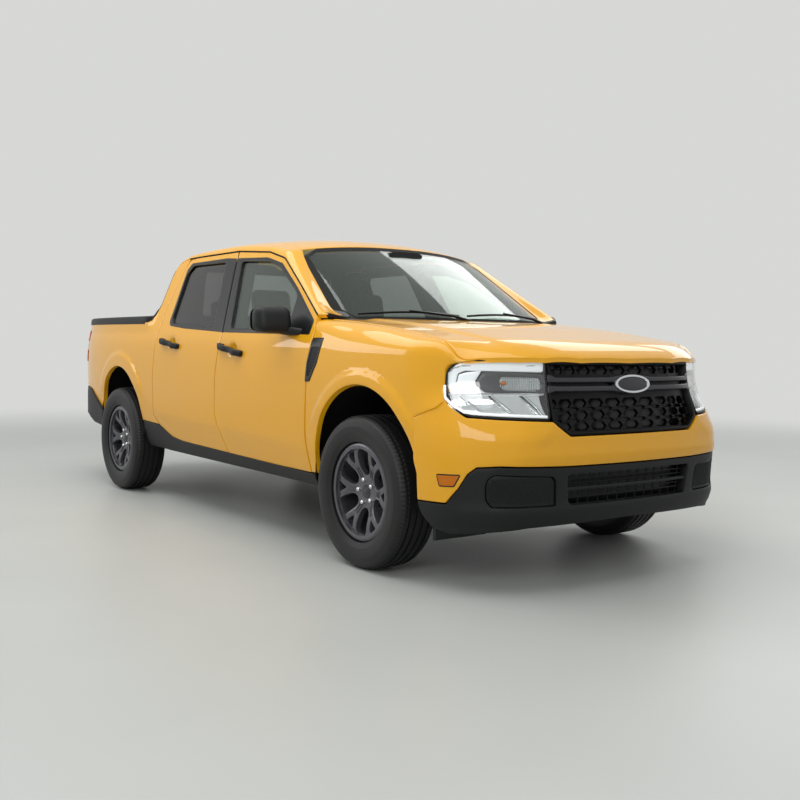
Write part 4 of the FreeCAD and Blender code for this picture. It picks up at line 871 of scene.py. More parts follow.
def joined(meshes):
    """Several meshes as one."""
    points, faces, start = [], [], 0
    for group, polygons in meshes:
        points.append(np.array(group, float))
        faces += [tuple(int(i) + start for i in f) for f in polygons]
        start += len(group)
    return np.concatenate(points), faces


both_sides("door_top_seal", tube([rail_start(float(x)) + np.array([0, 0.5, -2.0])
                                  for x in np.linspace(-700, 1165, 80)], 4.5), seal_rubber)

# Back of the cab: the steel wall with the fixed rear window of privacy glass let in.
# Black rubber seals run round the glass and down the cab's rear corners.
BACK_X = -903.0


def on_back(y, z):
    """The cab's back wall, which leans forward above the belt."""
    y, z = np.broadcast_arrays(y, z)
    lean = np.interp(z, [600, 1200, 1440, 1600], [0.0, 0.0, 18.0, 44.0])
    return np.stack([BACK_X + lean + 0 * y, y, z], -1)


wall_heights = (1190, 1268, 1435, 1540)
wall_half = [width_at(-900.0, z) - 6 for z in wall_heights]
wall_side = [(676, 735), (676, 1180)] + list(zip(wall_half, wall_heights))
wall_top = [(y, float(roof_height(-850.0, y)) - 14) for y in (600, 400, 0, -400, -600)]
back_loop = wall_side + wall_top + [(-y, z) for y, z in wall_side[::-1]]
back_hole = rounded([(-520, 1225), (520, 1225), (500, 1545), (-500, 1545)], 40.0)
mesh = panel([back_loop, back_hole], on_back, (-1, 0, 0), 40.0, 26.0, 3.0, way=(1, 0, 0))
piece("cab_back_wall", mesh, [body_paint, cabin_trim], "shell", mesh[2] == 2, ["cab_back"])
piece("rear_screen", panel([opening(back_hole, -14.0)], shifted(on_back, 12.0), (-1, 0, 0), GLASS_THICK, 60.0, 1.0,
                           way=(1, 0, 0)), privacy_glass, "shell")
piece("rear_screen_seal", panel([opening(back_hole, -16.0), opening(back_hole, 12.0)], shifted(on_back, -2.5),
                                (-1, 0, 0), 4.0, 20.0, 1.0, way=(1, 0, 0)), seal_rubber)
corner_line = [(-944, 1200), (-922, 1234), (-905, 1300), (-888, 1435), (-879, 1500), (-868, 1530)]
both_sides("cab_corner_seal", tube(on_side(*divided(corner_line, 14.0, False).T) + np.array([-3.0, -7.0, 0]), 6.0),
           seal_rubber)

# Front bumper: a moulded cover in body colour that wraps from one wheel arch to the
# other, with openings for the lamps and the grille.
NOSE_LEVELS = [290, 545, 700, 830, 1010]
nose_plans = [[(2512, 0), (2502, 300), (2468, 560), (2408, 700), (2308, 805), (2200, 855), (2050, 872)],
              [(2536.5, 0), (2526, 300), (2491, 560), (2428, 697), (2328, 809), (2204, 871), (2050, 892)],
              [(2536.5, 0), (2525, 300), (2484, 553), (2414, 684), (2314, 798), (2196, 867), (2050, 892)],
              [(2516, 0), (2504, 300), (2452, 490), (2368, 648), (2272, 770), (2172, 846), (2050, 888)],
              [(2482, 0), (2468, 300), (2426, 474), (2336, 652), (2256, 752), (2170, 826), (2050, 876)]]


def plan_track(half):
    """A plan line from its left half: x and y read by number, the numbers, and the way along from the middle."""
    whole = [(x, -y) for x, y in half[:0:-1]] + half
    x_of, y_of = path(whole)
    numbers = np.linspace(0, len(whole) - 1, 100 * len(whole) - 99)
    way = np.concatenate([[0], np.cumsum(np.hypot(np.diff(x_of(numbers)), np.diff(y_of(numbers))))])
    return x_of, y_of, numbers, way - way[len(way) // 2]


nose_tracks = [plan_track(half) for half in nose_plans]
level_weights = [curve([(z, 1.0 if z == level else 0.0) for z in NOSE_LEVELS]) for level in NOSE_LEVELS]
fine, walk = nose_tracks[1][2:]


def on_nose(a, z):
    """The nose: a runs along it from the middle, to the left positive; z is the height."""
    a, z = np.broadcast_arrays(a, z)
    k = np.interp(a, walk, fine)
    weights = [w(z) for w in level_weights]
    x = sum(w * track[0](k) for w, track in zip(weights, nose_tracks))
    y = sum(w * track[1](k) for w, track in zip(weights, nose_tracks))
    return np.stack([x, y, z + 0.0 * x], -1)


def mirrored(points):
    """An outline's other half."""
    return [(-a, z) for a, z in points[::-1]]


FORE = (1.0, 0.0, 0.0)
seam_low = float(np.interp(2063, nose_tracks[1][0](fine[1100:][::-1]), walk[1100:][::-1]))
lamp_outline = [(973, 879), (973, 950), (932, 981), (890, 994), (553, 997), (556, 944), (549, 853), (505, 744),
                (730, 752), (867, 759), (919, 790), (955, 824)]
grille_half = [(551, 993), (546, 852), (496, 741), (395, 678)]
cover_half = [(0, 547), (403, 548), (724, 555), (825, 549), (864, 519), (903, 455), (963, 390), (1130, 386)]
cover_side = [(seam_low - 20, 500), (seam_low, 560), (seam_low, 742), (1000, 796), (966, 822), (960, 812), (925, 784),
              (869, 752), (730, 745), (499, 737), (492, 735), (393, 672)]
cover_loop = cover_half + cover_side + mirrored(cover_half[1:] + cover_side)
grille_loop = rounded(grille_half + mirrored(grille_half), 12.0)
lamp_left = rounded(lamp_outline, 26.0)
fold_line = [(0, 600), (395, 600), (440, 660), (486, 718), (566, 684), (727, 682), (828, 690), (884, 731), (2000, 760)]
crease_half = [(486, 715), (566, 684), (727, 680), (828, 688), (884, 729)]


def on_cover(a, z):
    """The cover, with a soft fold under each lamp."""
    points = on_nose(a, z)
    away = np.abs(a)
    line = np.interp(away, *np.array(fold_line).T)
    swell = 6.0 * np.exp(-((z - line + 22) / 36) ** 2) * eased((away - 360) / 200) * eased((960 - away) / 260)
    lip = 7.0 * np.exp(-((z - 590) / 34) ** 2) * eased((860 - away) / 260)
    points[..., 0] += swell + lip
    return points


piece("front_bumper_cover", panel([rounded(cover_loop, 5.0)], on_cover, FORE, 24.0, 14.0, 3.0,
                                  [crease_half, mirrored(crease_half)]), body_paint, "shell",
      stands_for=["front_bumper", "front_valance"])

# Lower bumper: unpainted black moulding, with a blank cover where a fog lamp can go
# and a wide cooling intake with a bar across it.
fog_hole = rounded([(781, 470), (771, 501), (742, 517), (478, 505), (460, 484), (452, 378), (753, 378),
                    (776, 409)], 12.0)
intake_half = [(0, 510), (386, 511), (400, 499), (387, 392), (374, 376)]
intake_loop = intake_half + mirrored(intake_half[1:])
lower_half = [(0, 541), (403, 542), (724, 549), (822, 543), (858, 516), (897, 451), (958, 384), (1130, 380)]
lower_low = [(1128, 352), (1100, 318), (1020, 272), (930, 258), (800, 264), (560, 284)]
lower_loop = lower_half + lower_low + [(0, 292)] + mirrored(lower_half[1:] + lower_low)


def on_lower(a, z):
    """The lower bumper, a little under the cover, with rounded cheeks round the recesses."""
    points = on_nose(a, z)
    shelf = -6.0 + 10.0 * np.exp(-((z - 355) / 30) ** 2)
    curl = -14.0 * eased((318 - z) / 40)
    points[..., 0] += shelf + curl
    return points


piece("lower_bumper", panel([rounded(lower_loop, 8.0), fog_hole, mirrored(fog_hole), rounded(intake_loop, 14.0)],
                            on_lower, FORE, 40.0, 16.0, 4.0), black_trim)

# Fog lamp blanks: flat black covers clipped into their recesses, with fine slanted
# ribs moulded on the face.
fog_loop = opening(fog_hole, 2.5)
blank = panel([fog_loop], sunk(on_lower, 9.0, FORE), FORE, 16.0, 20.0, 5.0)
ribs = []
for start in np.arange(330, 900, 13.0):
    line = [(start + t * 110, 378 + t * 135) for t in np.linspace(0, 1, 10)]
    kept = [p for p, hit in zip(line, within(np.array(line), opening(fog_loop, 5.0))) if hit]
    if len(kept) > 1:
        ribs.append(tube(on_lower(*np.array(kept).T) - np.array([9.0, 0, 0]), 2.4, 6))
both_sides("fog_lamp_blank", joined([blank[:2]] + ribs), black_trim)

# Intake: a moulded grid behind the opening, with one strong bar and thin slats. A satin
# black plate closes it from behind.
slats = []
for z, radius, depth in [(446, 9.0, 20.0), (425, 3.0, 34.0), (405, 3.0, 34.0), (467, 3.0, 34.0), (488, 3.0, 34.0)]:
    line = on_nose(np.linspace(-405, 405, 40), np.full(40, float(z))) - np.array([depth, 0, 0])
    slats.append(tube(line, radius, 8))
for a in np.linspace(-360, 360, 13):
    line = on_nose(np.full(6, a), np.linspace(370, 515, 6)) - np.array([42.0, 0, 0])
    slats.append(tube(line, 3.0, 6))
piece("intake_grid", joined(slats), black_trim)


def set_back(depth):
    """The nose's surface set back along its normal."""
    return sunk(on_nose, depth, FORE)


backing_loop = [(-420, 365), (420, 365), (420, 522), (-420, 522)]
piece("intake_backing", panel([backing_loop], set_back(62.0), FORE, 4.0, 40.0, 1.0), satin_black)

# Side markers: amber lenses let into the bumper ahead of each front wheel. A thin
# black rim holds each one.
amber_lens = surface("amber_acrylic", "#C86A00", 0.2, Coat_Weight=0.25, Coat_Roughness=0.03, Specular_IOR_Level=0.2)
# Moulded prisms about 4 mm wide stand behind the amber face.
mottled(amber_lens, "TexWave", "#9A4A00", "#DB7F08", {"Scale": 80.0, "Distortion": 0.0}, bands_direction="Z")
marker = rounded([(1007, 508), (895, 512), (921, 464), (994, 461)], 6.0)
both_sides("side_marker", panel([marker], shifted(on_nose, 1.5, 1.5), FORE, 14.0, 10.0, 2.0), amber_lens, "shell")
both_sides("side_marker_rim", panel([opening(marker, -3.5), opening(marker, 2.0)], shifted(on_nose, 2.0, 2.0), FORE,
                                    12.0, 10.0, 1.5), black_trim)

# Grille: a black moulded honeycomb between the lamps, crossed by two dark grey bars
# that swell into a plain oval in the middle.
grille_black = surface("grille_abs", "#070708", 0.42, 6.0, 0.01, Specular_IOR_Level=0.2)
grille_grey = surface("dark_grey_enamel", "#37363A", 0.32, 5.0, 0.01, Metallic=0.3)
MESH_DEPTH = 30.0
CELL_WIDE = 104.0
CELL_TALL = 36.0
SLIM_TALL = 15.0
TOP_ROW = 959
LOWER_ROW = 818
ROW_PITCH = 52.0
CELL_TIP = 17.0
WALL = 7.0
grille_inner = opening(grille_loop, 4.0)
grille_edge = opening(grille_loop, -6.0)


def honeycomb(z, tall, shift):
    """A row of long honeycomb openings at a height, cut at the grille's edge."""
    made = []
    limits = grille_inner[np.abs(grille_inner[:, 1] - z) < 20, 0]
    for k in range(-7, 8):
        middle = k * CELL_WIDE + shift
        low = max(middle - (CELL_WIDE - WALL) / 2, limits.min() + 6)
        high = min(middle + (CELL_WIDE - WALL) / 2, limits.max() - 6)
        if high - low > 2.2 * CELL_TIP:
            made.append([(low, z), (low + CELL_TIP, z - tall / 2), (high - CELL_TIP, z - tall / 2), (high, z),
                         (high - CELL_TIP, z + tall / 2), (low + CELL_TIP, z + tall / 2)])
    return made


openings = honeycomb(TOP_ROW, CELL_TALL, CELL_WIDE / 2)
for row in range(3):
    openings += honeycomb(LOWER_ROW - ROW_PITCH * row, CELL_TALL, 0.0)
    if row < 2:
        openings += honeycomb(LOWER_ROW - ROW_PITCH * (row + 0.5), SLIM_TALL, CELL_WIDE / 2)
piece("grille_mesh", panel([grille_edge] + openings, set_back(MESH_DEPTH), FORE, 16.0, 26.0, 1.5), grille_black,
      stands_for=["grille"])
piece("grille_backing", panel([opening(grille_edge, -4.0)], set_back(80.0), FORE, 4.0, 50.0, 1.0), satin_black)
grille_rim = [opening(grille_loop, 2.0), opening(grille_loop, 15.0)]
piece("grille_frame", panel(grille_rim, set_back(5.0), FORE, 30.0, 12.0, 4.0), grille_black)


def bar(low, high, ends):
    """One grille bar: its outline swells round the oval."""
    top, bottom = [], []
    upper = low > 890
    for a in np.linspace(-ends, ends, 81):
        swell = 9 * math.exp(-(a / 96) ** 4)
        flare = 11 * float(eased((abs(a) - 500) / 34))
        top.append((a, high + (swell + flare if upper else flare * 0.2)))
        bottom.append((a, low - (swell + flare * 0.6 if not upper else 0)))
    return top[::-1] + bottom


for name, low, high, ends in (("upper", 903, 924, 552), ("lower", 865, 887, 550)):
    piece("grille_bar_" + name, panel([bar(low, high, ends)], set_back(3.0), FORE, 30.0, 12.0, 5.0), grille_grey)


def turns(count):
    """Angles spaced evenly round a full turn."""
    return np.linspace(0, 2 * math.pi, count, endpoint=False)


OVAL_HEIGHT = 893


def oval(half_wide, half_tall):
    """An outline of the plain oval's shape."""
    return [(half_wide * math.cos(t), OVAL_HEIGHT + half_tall * math.sin(t)) for t in turns(48)]


chrome = surface("bright_chrome", "#D9DBDD", 0.08, 8.0, 0.004, Metallic=1.0)
piece("grille_oval_rim", panel([oval(104, 42), oval(88, 30)], shifted(on_nose, 6.0), FORE, 26.0, 8.0, 5.0), chrome)


def on_oval(a, z):
    """The oval's domed face."""
    dome = 7.0 * (1 - (a / 92) ** 2 - ((z - OVAL_HEIGHT) / 34) ** 2)
    points = on_nose(a, z)
    points[..., 0] += dome
    return points


piece("grille_oval", panel([oval(90, 32)], on_oval, FORE, 20.0, 8.0, 1.0), grille_grey)

# Headlamps: a black housing let in between wing, hood and bumper. It holds a white
# light guide bent to a C, a grey bar with a clear turn lamp, and three chromed
# reflector bowls, under a clear cover.
lamp_black = surface("matt_black_pbt", "#0E0F10", 0.5, 3.0, 0.02, Specular_IOR_Level=0.3)
# Clear polycarbonate: hard-coated, with the slight ripple of moulding.
lamp_cover = glass("clear_polycarbonate", "#FCFDFD", None, (30.0, 0.0002), 0.02, 0.05)
# Vacuum-metallised plastic, bright, with a faint haze.
reflector = surface("metallised_plastic", "#DADCDE", 0.13, 4.0, 0.006, Metallic=1.0)
# Milky white acrylic that spreads the light of the guide when the lamp is on. The lamp is off, and its faint emission
# is a painted glow.
milk_white_painted_glow = surface("milky_acrylic_painted_glow", "#F0F3F5", 0.25, 6.0, 0.005, Coat_Weight=0.5, Coat_Roughness=0.05,
                     Emission_Color=tint("#F2F5F7"), Emission_Strength=0.28)


def fore(a, z, depth):
    """A point of the nose set back along X."""
    points = on_nose(a, z)
    points[..., 0] -= depth
    return points


both_sides("headlamp_rim", panel([opening(lamp_left, -1.0), opening(lamp_left, 9.0)], set_back(4.0), FORE, 34.0, 12.0,
                                 3.0), lamp_black)
both_sides("headlamp_housing", panel([opening(lamp_left, 1.0)], set_back(62.0), FORE, 4.0, 24.0, 1.0), lamp_black)
both_sides("headlamp_cover", panel([opening(lamp_left, 5.0)], set_back(5.0), FORE, 3.0, 20.0, 1.5), lamp_cover,
           "shell", stands_for=["headlamps"])

# The light guide, its edge and the bezel below take the milky acrylic with its painted glow.
guide_outer = [(966, 884), (966, 946), (928, 974), (888, 985), (561, 988), (566, 950), (574, 946), (880, 950),
               (918, 938), (924, 900), (900, 872), (940, 852)]
both_sides("light_guide", panel([rounded(guide_outer, 10.0)], set_back(16.0), FORE, 26.0, 10.0, 5.0), milk_white_painted_glow,
           "shell")
border_line = [(959, 885), (956, 834), (917, 801), (866, 771), (730, 763), (520, 756)]
both_sides("light_guide_edge", tube(fore(*divided(border_line, 14.0, False).T, 15.0), 7.5, 10), milk_white_painted_glow, "shell",
           sharp=60.0)
step_line = [(944, 888), (948, 938), (920, 958), (884, 968), (600, 971)]
both_sides("light_guide_rib", tube(divided(fore(*np.array(step_line, float).T, 15.5), 12.0, False), 3.0, 6), reflector,
           "shell")

bullet = [(556, 934), (719, 945), (784, 943), (818, 907), (812, 884), (783, 862), (560, 858)]
turn_hole = rounded([(722, 885), (719, 918), (709, 926), (590, 922), (569, 890), (592, 867), (709, 870)], 8.0)
both_sides("lamp_bar", panel([rounded(bullet, 10.0), turn_hole], set_back(9.0), FORE, 30.0, 10.0, 5.0), grille_grey)
both_sides("turn_lamp_bowl", panel([opening(turn_hole, -2.0)], set_back(36.0), FORE, 4.0, 12.0, 1.0), reflector,
           "shell")
flutes = [tube(fore(np.full(5, a), np.linspace(870, 922, 5), 24.0), 3.4, 6) for a in np.arange(576, 716, 7.0)]
both_sides("turn_lamp_flutes", joined(flutes), reflector, "shell")
both_sides("turn_lamp_lens", panel([opening(turn_hole, 1.0)], set_back(12.0), FORE, 3.0, 12.0, 3.0), lamp_cover,
           "shell")
bulb_line = fore(np.linspace(690, 712, 7), np.full(7, 896.0), 20.0)
both_sides("turn_lamp_bulb", tube(bulb_line, [2, 7, 9.5, 10, 9.5, 7, 2], 12), amber_lens, "shell")


def bowl(outline, name, tilt):
    """One chromed reflector: a dished plate whose slant catches the light."""
    loop = np.array(outline, float)
    middle = loop.mean(0)
    spread = np.abs(loop - middle).max(0)

    def place(a, z):
        u, v = (a - middle[0]) / spread[0], (z - middle[1]) / spread[1]
        depth = 50.0 - 34.0 * np.clip(u * u * 0.5 + v * v * 0.4, 0, 1) + tilt * u
        return fore(a, z, depth)
    both_sides(name, panel([rounded(outline, 5.0)], place, FORE, 3.0, 7.0, 1.0), reflector, "shell")


bowl([(948, 842), (884, 846), (792, 778), (790, 764), (868, 766), (914, 796)], "reflector_outer", 12.0)
bowl([(872, 848), (760, 852), (668, 768), (670, 760), (780, 766)], "reflector_middle", 14.0)
bowl([(748, 850), (654, 852), (524, 754), (548, 752), (662, 758)], "reflector_inner", 14.0)
bowl([(640, 850), (558, 852), (546, 822), (514, 756)], "reflector_end", 10.0)
web_lines = [(881, 847), (789, 775)], [(753, 850), (664, 766)], [(649, 853), (522, 748)], [(945, 846), (556, 855)]
webs = [tube(fore(*divided(line, 14.0, False).T, 20.0), 3.6, 6) for line in web_lines]
both_sides("reflector_webs", joined(webs), reflector, "shell")
skirt = [(962, 868), (940, 846), (560, 855), (556, 862), (780, 866), (822, 890), (826, 908), (792, 950), (870, 944),
         (912, 934), (918, 902)]
both_sides("lamp_bezel", panel([rounded(skirt, 6.0)], set_back(30.0), FORE, 4.0, 10.0, 2.0), milk_white_painted_glow, "shell")

# Wing vents: black mouldings behind the front wheels, wide at the top and drawn to a
# point, with a dished dark inner face.
vent = [(1200, 1086), (1306, 1086), (1262, 960), (1196, 864), (1150, 862), (1160, 956)]
vent_cut = rounded([(1206, 1034), (1274, 1034), (1240, 960), (1190, 890), (1176, 890), (1180, 958)], 10.0)
both_sides("wing_vent", panel([rounded(vent, 10.0), vent_cut], shifted(on_side, 0, 3.0), SIDE, 16.0, 8.0, 3.0),
           satin_black)
both_sides("wing_vent_face", panel([opening(vent_cut, -4.0)], shifted(on_side, 0, 0.8), SIDE, 4.0, 10.0, 1.0),
           grille_black)
blades = []
for z in (925, 955, 985, 1012):
    low, high = np.interp(z, [890, 960, 1034], [1178, 1181, 1207]), np.interp(z, [890, 960, 1034], [1190, 1240, 1273])
    blades.append(tube(on_side(np.linspace(low, high, 6), np.full(6, z)) + np.array([0, 0.6, 0]), 2.6, 6))
both_sides("wing_vent_blades", joined(blades), satin_black)

# Door handles: black pull handles bridging the hand cups, with a flat paddle at the
# front and a keyed cap at the back.


def ring_loft(rings):
    """A closed skin over a row of rings with the same number of points."""
    rings = np.array(rings, float)
    count, size = rings.shape[:2]
    faces = grid_faces(count, size, True) + end_caps(count, size)
    flat = rings.reshape(-1, 3)
    corners = flat[np.array(faces[:count * size - size])]
    middle = rings.mean(1)
    middle = np.repeat((middle[:-1] + middle[1:]) / 2, size, 0)
    normal = np.cross(corners[:, 1] - corners[:, 0], corners[:, 2] - corners[:, 0])
    if ((corners.mean(1) - middle) * normal).sum() < 0:
        faces = [f[::-1] for f in faces]
    return flat, faces


def soft_box(size_u, size_v, power, count=20):
    """A rounded rectangle of given half sizes; a lower power squares its corners."""
    angles = (np.arange(count) + 0.5) * 2 * math.pi / count
    c, s = np.cos(angles), np.sin(angles)
    return np.stack([size_u * np.sign(c) * np.abs(c) ** power, size_v * np.sign(s) * np.abs(s) ** power], 1)


def along_handle(first, last, share):
    """A point of the flank on the line of a handle."""
    return spot_on(on_side, *(a + (b - a) * share for a, b in zip(first, last)))


for name, first, last in (("rear", (-702, 1062), (-420, 1024)), ("front", (158, 1036), (452, 991))):
    rings = []
    for share in np.concatenate([[0.0, 0.012, 0.04], np.linspace(0.08, 0.92, 17), [0.96, 0.988, 1.0]]):
        end = min(share, 1 - share)
        tall = 17.0 * float(np.clip(end / 0.03, 0, 1)) ** 0.5 + 0.4
        lift = 14.0 + 18.0 * float(eased(end / 0.22))
        deep = 4.0 + 9.0 * float(np.clip(end / 0.05, 0, 1)) + (5.0 if end < 0.2 else 0.0)
        base = along_handle(first, last, share)
        rings.append([base + np.array([0, lift - deep * 0.4 + v, u]) for u, v in soft_box(tall, deep, 0.55)])
    both_sides("door_handle_" + name, ring_loft(rings), black_trim, "door_" + name + "_@")
    foot_points = []
    for share in (0.09, 0.91):
        base = along_handle(first, last, share)
        foot_points.append(ring_loft([[base + np.array([u * 1.6, d, v]) for u, v in soft_box(19.0, 15.0, 0.6)]
                                      for d in (-6.0, 4.0, 16.0)]))
    both_sides("door_handle_feet_" + name, joined(foot_points), black_trim, "door_" + name + "_@")

# Door mirrors: moulded black heads on folding feet, with silvered glass facing back.
# Each one swings with its front door.
mirror_glass = surface("silvered_glass", "#E6E9EA", 0.02, 40.0, 0.01, Metallic=1.0)
head_rings = []
for share in np.linspace(0, 1, 15):
    y = 878 + 186 * share
    end = min(share * 1.3, 1 - share)
    shrink = float(np.clip(end / 0.16, 0, 1)) ** 0.5
    tall = 73 * (0.55 + 0.45 * shrink) - 8 * share
    deep = 72 * (0.5 + 0.5 * shrink) - 20 * share
    middle = np.array([930 - 12 * share, y, 1173 + 3 * share])
    ring = []
    for u, v in soft_box(deep, tall, 0.62, 28):
        u = u if u < 0 else u * 1.12
        slope = 12 * (v / 73) if u > 0 else 0
        ring.append(middle + np.array([u - slope, 0, v]))
    head_rings.append(ring)
both_sides("mirror_head", ring_loft(head_rings), black_trim, "door_front_@", stands_for=["mirror_@"], sharp=50.0)
bezel_rings = [[(862.0 - d, 968 + u, 1175 + v) for u, v in soft_box(wide, tall, 0.5, 32)]
               for d, wide, tall in ((0, 86, 62), (5, 86, 62), (5, 80, 57), (1, 78, 55))]
both_sides("mirror_bezel", ring_loft(bezel_rings), satin_black, "door_front_@")
both_sides("mirror_glass", ring_loft([[(860.5 - d, 968 + u, 1175 + v) for u, v in soft_box(77.0, 54.0, 0.5, 32)]
                                      for d in (0.0, 2.0)]), mirror_glass, "door_front_@")
foot_rings = []
for share in np.linspace(0, 1, 9):
    y = 836 + 86 * share
    middle = np.array([1030 - 86 * share, y, 1112 + 14 * share ** 2])
    wide, tall = 78 - 34 * share, 17 + 7 * share
    foot_rings.append([middle + np.array([u, 0, v]) for u, v in soft_box(wide, tall, 0.6, 20)])
both_sides("mirror_foot", ring_loft(foot_rings), black_trim, "door_front_@", sharp=50.0)

# Rear bumper: one black moulding from one rear wheel to the other, with a stepping
# ledge under the tailgate, a blank plate recess and red reflectors let in.
tail_plan = [(-2536.5, 0), (-2530, 350), (-2502, 600), (-2440, 735), (-2330, 812), (-2150, 858), (-1950, 876),
             (-1790, 886)]
tail_x, tail_y, tail_fine, tail_walk = plan_track(tail_plan)


def on_tail(a, z):
    """The rear bumper's face: a runs along it from the middle, and it tucks under at the bottom."""
    a, z = np.broadcast_arrays(a, z)
    k = np.interp(a, tail_walk, tail_fine)
    tuck = 26.0 * eased((500 - z) / 110) + 10.0 * eased((z - 640) / 70)
    x, y = tail_x(k), tail_y(k)
    side_share = eased((np.abs(a) - 900) / 250)
    return np.stack([x + tuck * (1 - side_share), y - np.sign(y) * tuck * side_share * 0.6, z + 0.0 * x], -1)


AFT = (-1.0, 0.0, 0.0)
arch_end = float(np.interp(-1798, tail_x(tail_fine[1100:]), tail_walk[1100:]))
BUMPER_TOP = 704
bumper_half = [(0, BUMPER_TOP), (640, BUMPER_TOP), (980, 702), (1110, 690), (arch_end - 30, 546), (arch_end - 6, 530),
               (arch_end - 4, 418), (1180, 436), (1000, 492), (860, 486)]
plate_hole = rounded([(-170, 520), (170, 520), (170, 640), (-170, 640)], 14.0)
bumper_loop = bumper_half + [(0, 440)] + mirrored(bumper_half[1:])
piece("rear_bumper_skin", panel([rounded(bumper_loop, 12.0), plate_hole], on_tail, AFT, 60.0, 16.0, 5.0), black_trim,
      stands_for=["rear_bumper"])
piece("plate_recess", panel([opening(plate_hole, -3.0)], sunk(on_tail, 22.0, AFT), AFT, 6.0, 20.0, 1.0), satin_black)
BOLT_HEIGHT = 600.0
bolts = []
for y in (-88.9, 88.9):
    x = float(on_tail(np.array(y), np.array(BOLT_HEIGHT))[0]) + 21
    bolts.append(ring_loft([[(x - d, y + r * math.cos(t), BOLT_HEIGHT + r * math.sin(t)) for t in turns(16)]
                            for d, r in ((-2, 7.5), (2, 7.5), (4, 5.0))]))
piece("plate_bolts", joined(bolts), chrome, "shell")
LEDGE_HEIGHT = 700.0
step_loop = [(-690, -2410), (-620, -2452), (-350, -2496), (350, -2496), (620, -2452), (690, -2410), (690, -2330),
             (-690, -2330)]
step_pan = panel([rounded(step_loop, 6.0)], lambda a, b: np.stack([b, a, np.full(a.shape, LEDGE_HEIGHT)], -1),
                 (0.0, 0.0, 1.0), 8.0, 40.0, 2.0)
piece("bumper_step_pan", step_pan, black_trim)
tread = [tube(on_tail(np.linspace(y - 14, y + 14, 4), np.full(4, BUMPER_TOP)) + np.array([26.0, 0, 0.5]), 2.4, 6)
         for y in range(-396, 397, 44)]
piece("bumper_step_ribs", joined(tread), black_trim)
red_lens = surface("red_acrylic", "#A3050B", 0.1, Coat_Weight=0.6, Coat_Roughness=0.03)
# Moulded prisms about 4 mm wide stand behind the red face.
mottled(red_lens, "TexWave", "#7E0408", "#BE1119", {"Scale": 80.0, "Distortion": 0.0}, bands_direction="Z")
for sign, side in ((1, "left"), (-1, "right")):
    lens = rounded([(sign * 700, 600), (sign * 860, 600), (sign * 860, 632), (sign * 700, 632)], 8.0)
    mesh = panel([lens if sign > 0 else lens[::-1]], shifted(on_tail, -2.0), AFT, 8.0, 12.0, 2.0)
    piece("rear_reflector_" + side, mesh, red_lens, "shell")

# Tyres: moulded rubber, with four grooves round the tread, cut shoulders and fine
# slits across the ribs. The walls carry plain raised rings.
tyre_rubber = surface("tyre_rubber", "#151516", 0.5, 2.0, 0.04, Specular_IOR_Level=0.38)
# Dust settles unevenly on the rubber in patches of about 80 mm.
mottled(tyre_rubber, "TexNoise", "#101011", "#1A1A1B", {"Scale": 12.0, "Detail": 5.0})
TRACK_HALF = 795.0
TYRE_RADIUS = 362.0
TYRE_HALF = 112.5
tyre_shares = [(0, 1), (0.60, 0.997), (0.76, 0.987), (0.87, 0.967), (0.95, 0.93), (1, 0.85), (0.99, 0.77),
               (0.92, 0.70), (0.85, 0.652)]
tread_cuts = [(-56.0, 11.0), (-19.0, 10.0), (19.0, 10.0), (56.0, 11.0)]
profile = path(tyre_shares)
half_walk = np.concatenate([np.linspace(0, 2.0, 18), np.linspace(2.25, 8, 22)])
half_profile = [(TYRE_HALF * float(profile[0](s)), TYRE_RADIUS * float(profile[1](s))) for s in half_walk]
across = sorted(set([-p[0] for p in half_profile[1:18]] + [p[0] for p in half_profile[:18]]
                    + [c + d for c, w in tread_cuts for d in (-w / 2 - 0.4, -w / 2 + 0.4, w / 2 - 0.4, w / 2 + 0.4)]))
walls = half_profile[18:]
tread_radius = curve([(p[0], p[1]) for p in half_profile[:18]])
SLICES = 324
rows = []
for k in range(SLICES):
    angle = 2 * math.pi * k / SLICES
    beat = k % 3
    ring = []
    for side in (-1, 1):
        part = []
        for n, (y, r) in enumerate(walls):
            cut = 2.2 if beat == 0 and n < 5 and r > 330 else 0.0
            raised = 1.8 if 258 < r < 268 or 300 < r < 312 else 0.0
            part.append((side * (y + raised), r - cut))
        ring.append(part)
    tread_line = []
    for y in across:
        r = float(tread_radius(abs(y)))
        groove = any(abs(y - c) < w / 2 for c, w in tread_cuts)
        slit = 1.6 if beat == (0 if int((y + 200) / 34) % 2 else 2) and abs(y) < 50 else 0.0
        shoulder = 3.4 if beat == 0 and abs(y) > 63 else 0.0
        tread_line.append((y, r - (7.5 if groove else max(slit, shoulder))))
    loop = ring[0][::-1] + tread_line + ring[1]
    rows.append([(r * math.cos(angle), y, r * math.sin(angle)) for y, r in loop])
tyre = np.array(rows).reshape(-1, 3), grid_faces(SLICES, len(rows[0]), True, True)
wheel_spots = [("front", FRONT_AXLE), ("rear", REAR_AXLE)]


def at_wheel(mesh, x):
    """A mesh moved from the origin to the left wheel of the axle at x."""
    return mesh[0] + np.array([x, TRACK_HALF, AXLE_HEIGHT]), mesh[1]


for name, x in wheel_spots:
    both_sides("tyre_tread_" + name, at_wheel(tyre, x), tyre_rubber, "wheel_" + name + "_@",
               stands_for=["tyre_" + name + "_@"], sharp=30.0)

# Wheels: cast aluminium in dark satin grey, with six spokes that fork toward the
# rim, over a deep barrel. Five bright nuts hold each wheel round a plain centre cap.
satin_grey = surface("satin_wheel_enamel", "#55545A", 0.3, 5.0, 0.01, Metallic=0.55, Coat_Weight=0.3,
                     Coat_Roughness=0.15)
# A fine metallic flake, drawn coarser than real.
mottled(satin_grey, "TexNoise", "#4C4B50", "#5E5D63", {"Scale": 900.0, "Detail": 1.0})
FORK_COUNT = 6
FORK_FIRST = 118.5
window_shape = [(79, 5.5), (90, 15), (114, 18), (160, 15), (190, 13), (203, 9)]
pocket_shape = [(146, 1.2), (168, 5.0), (192, 7.5), (202, 5)]


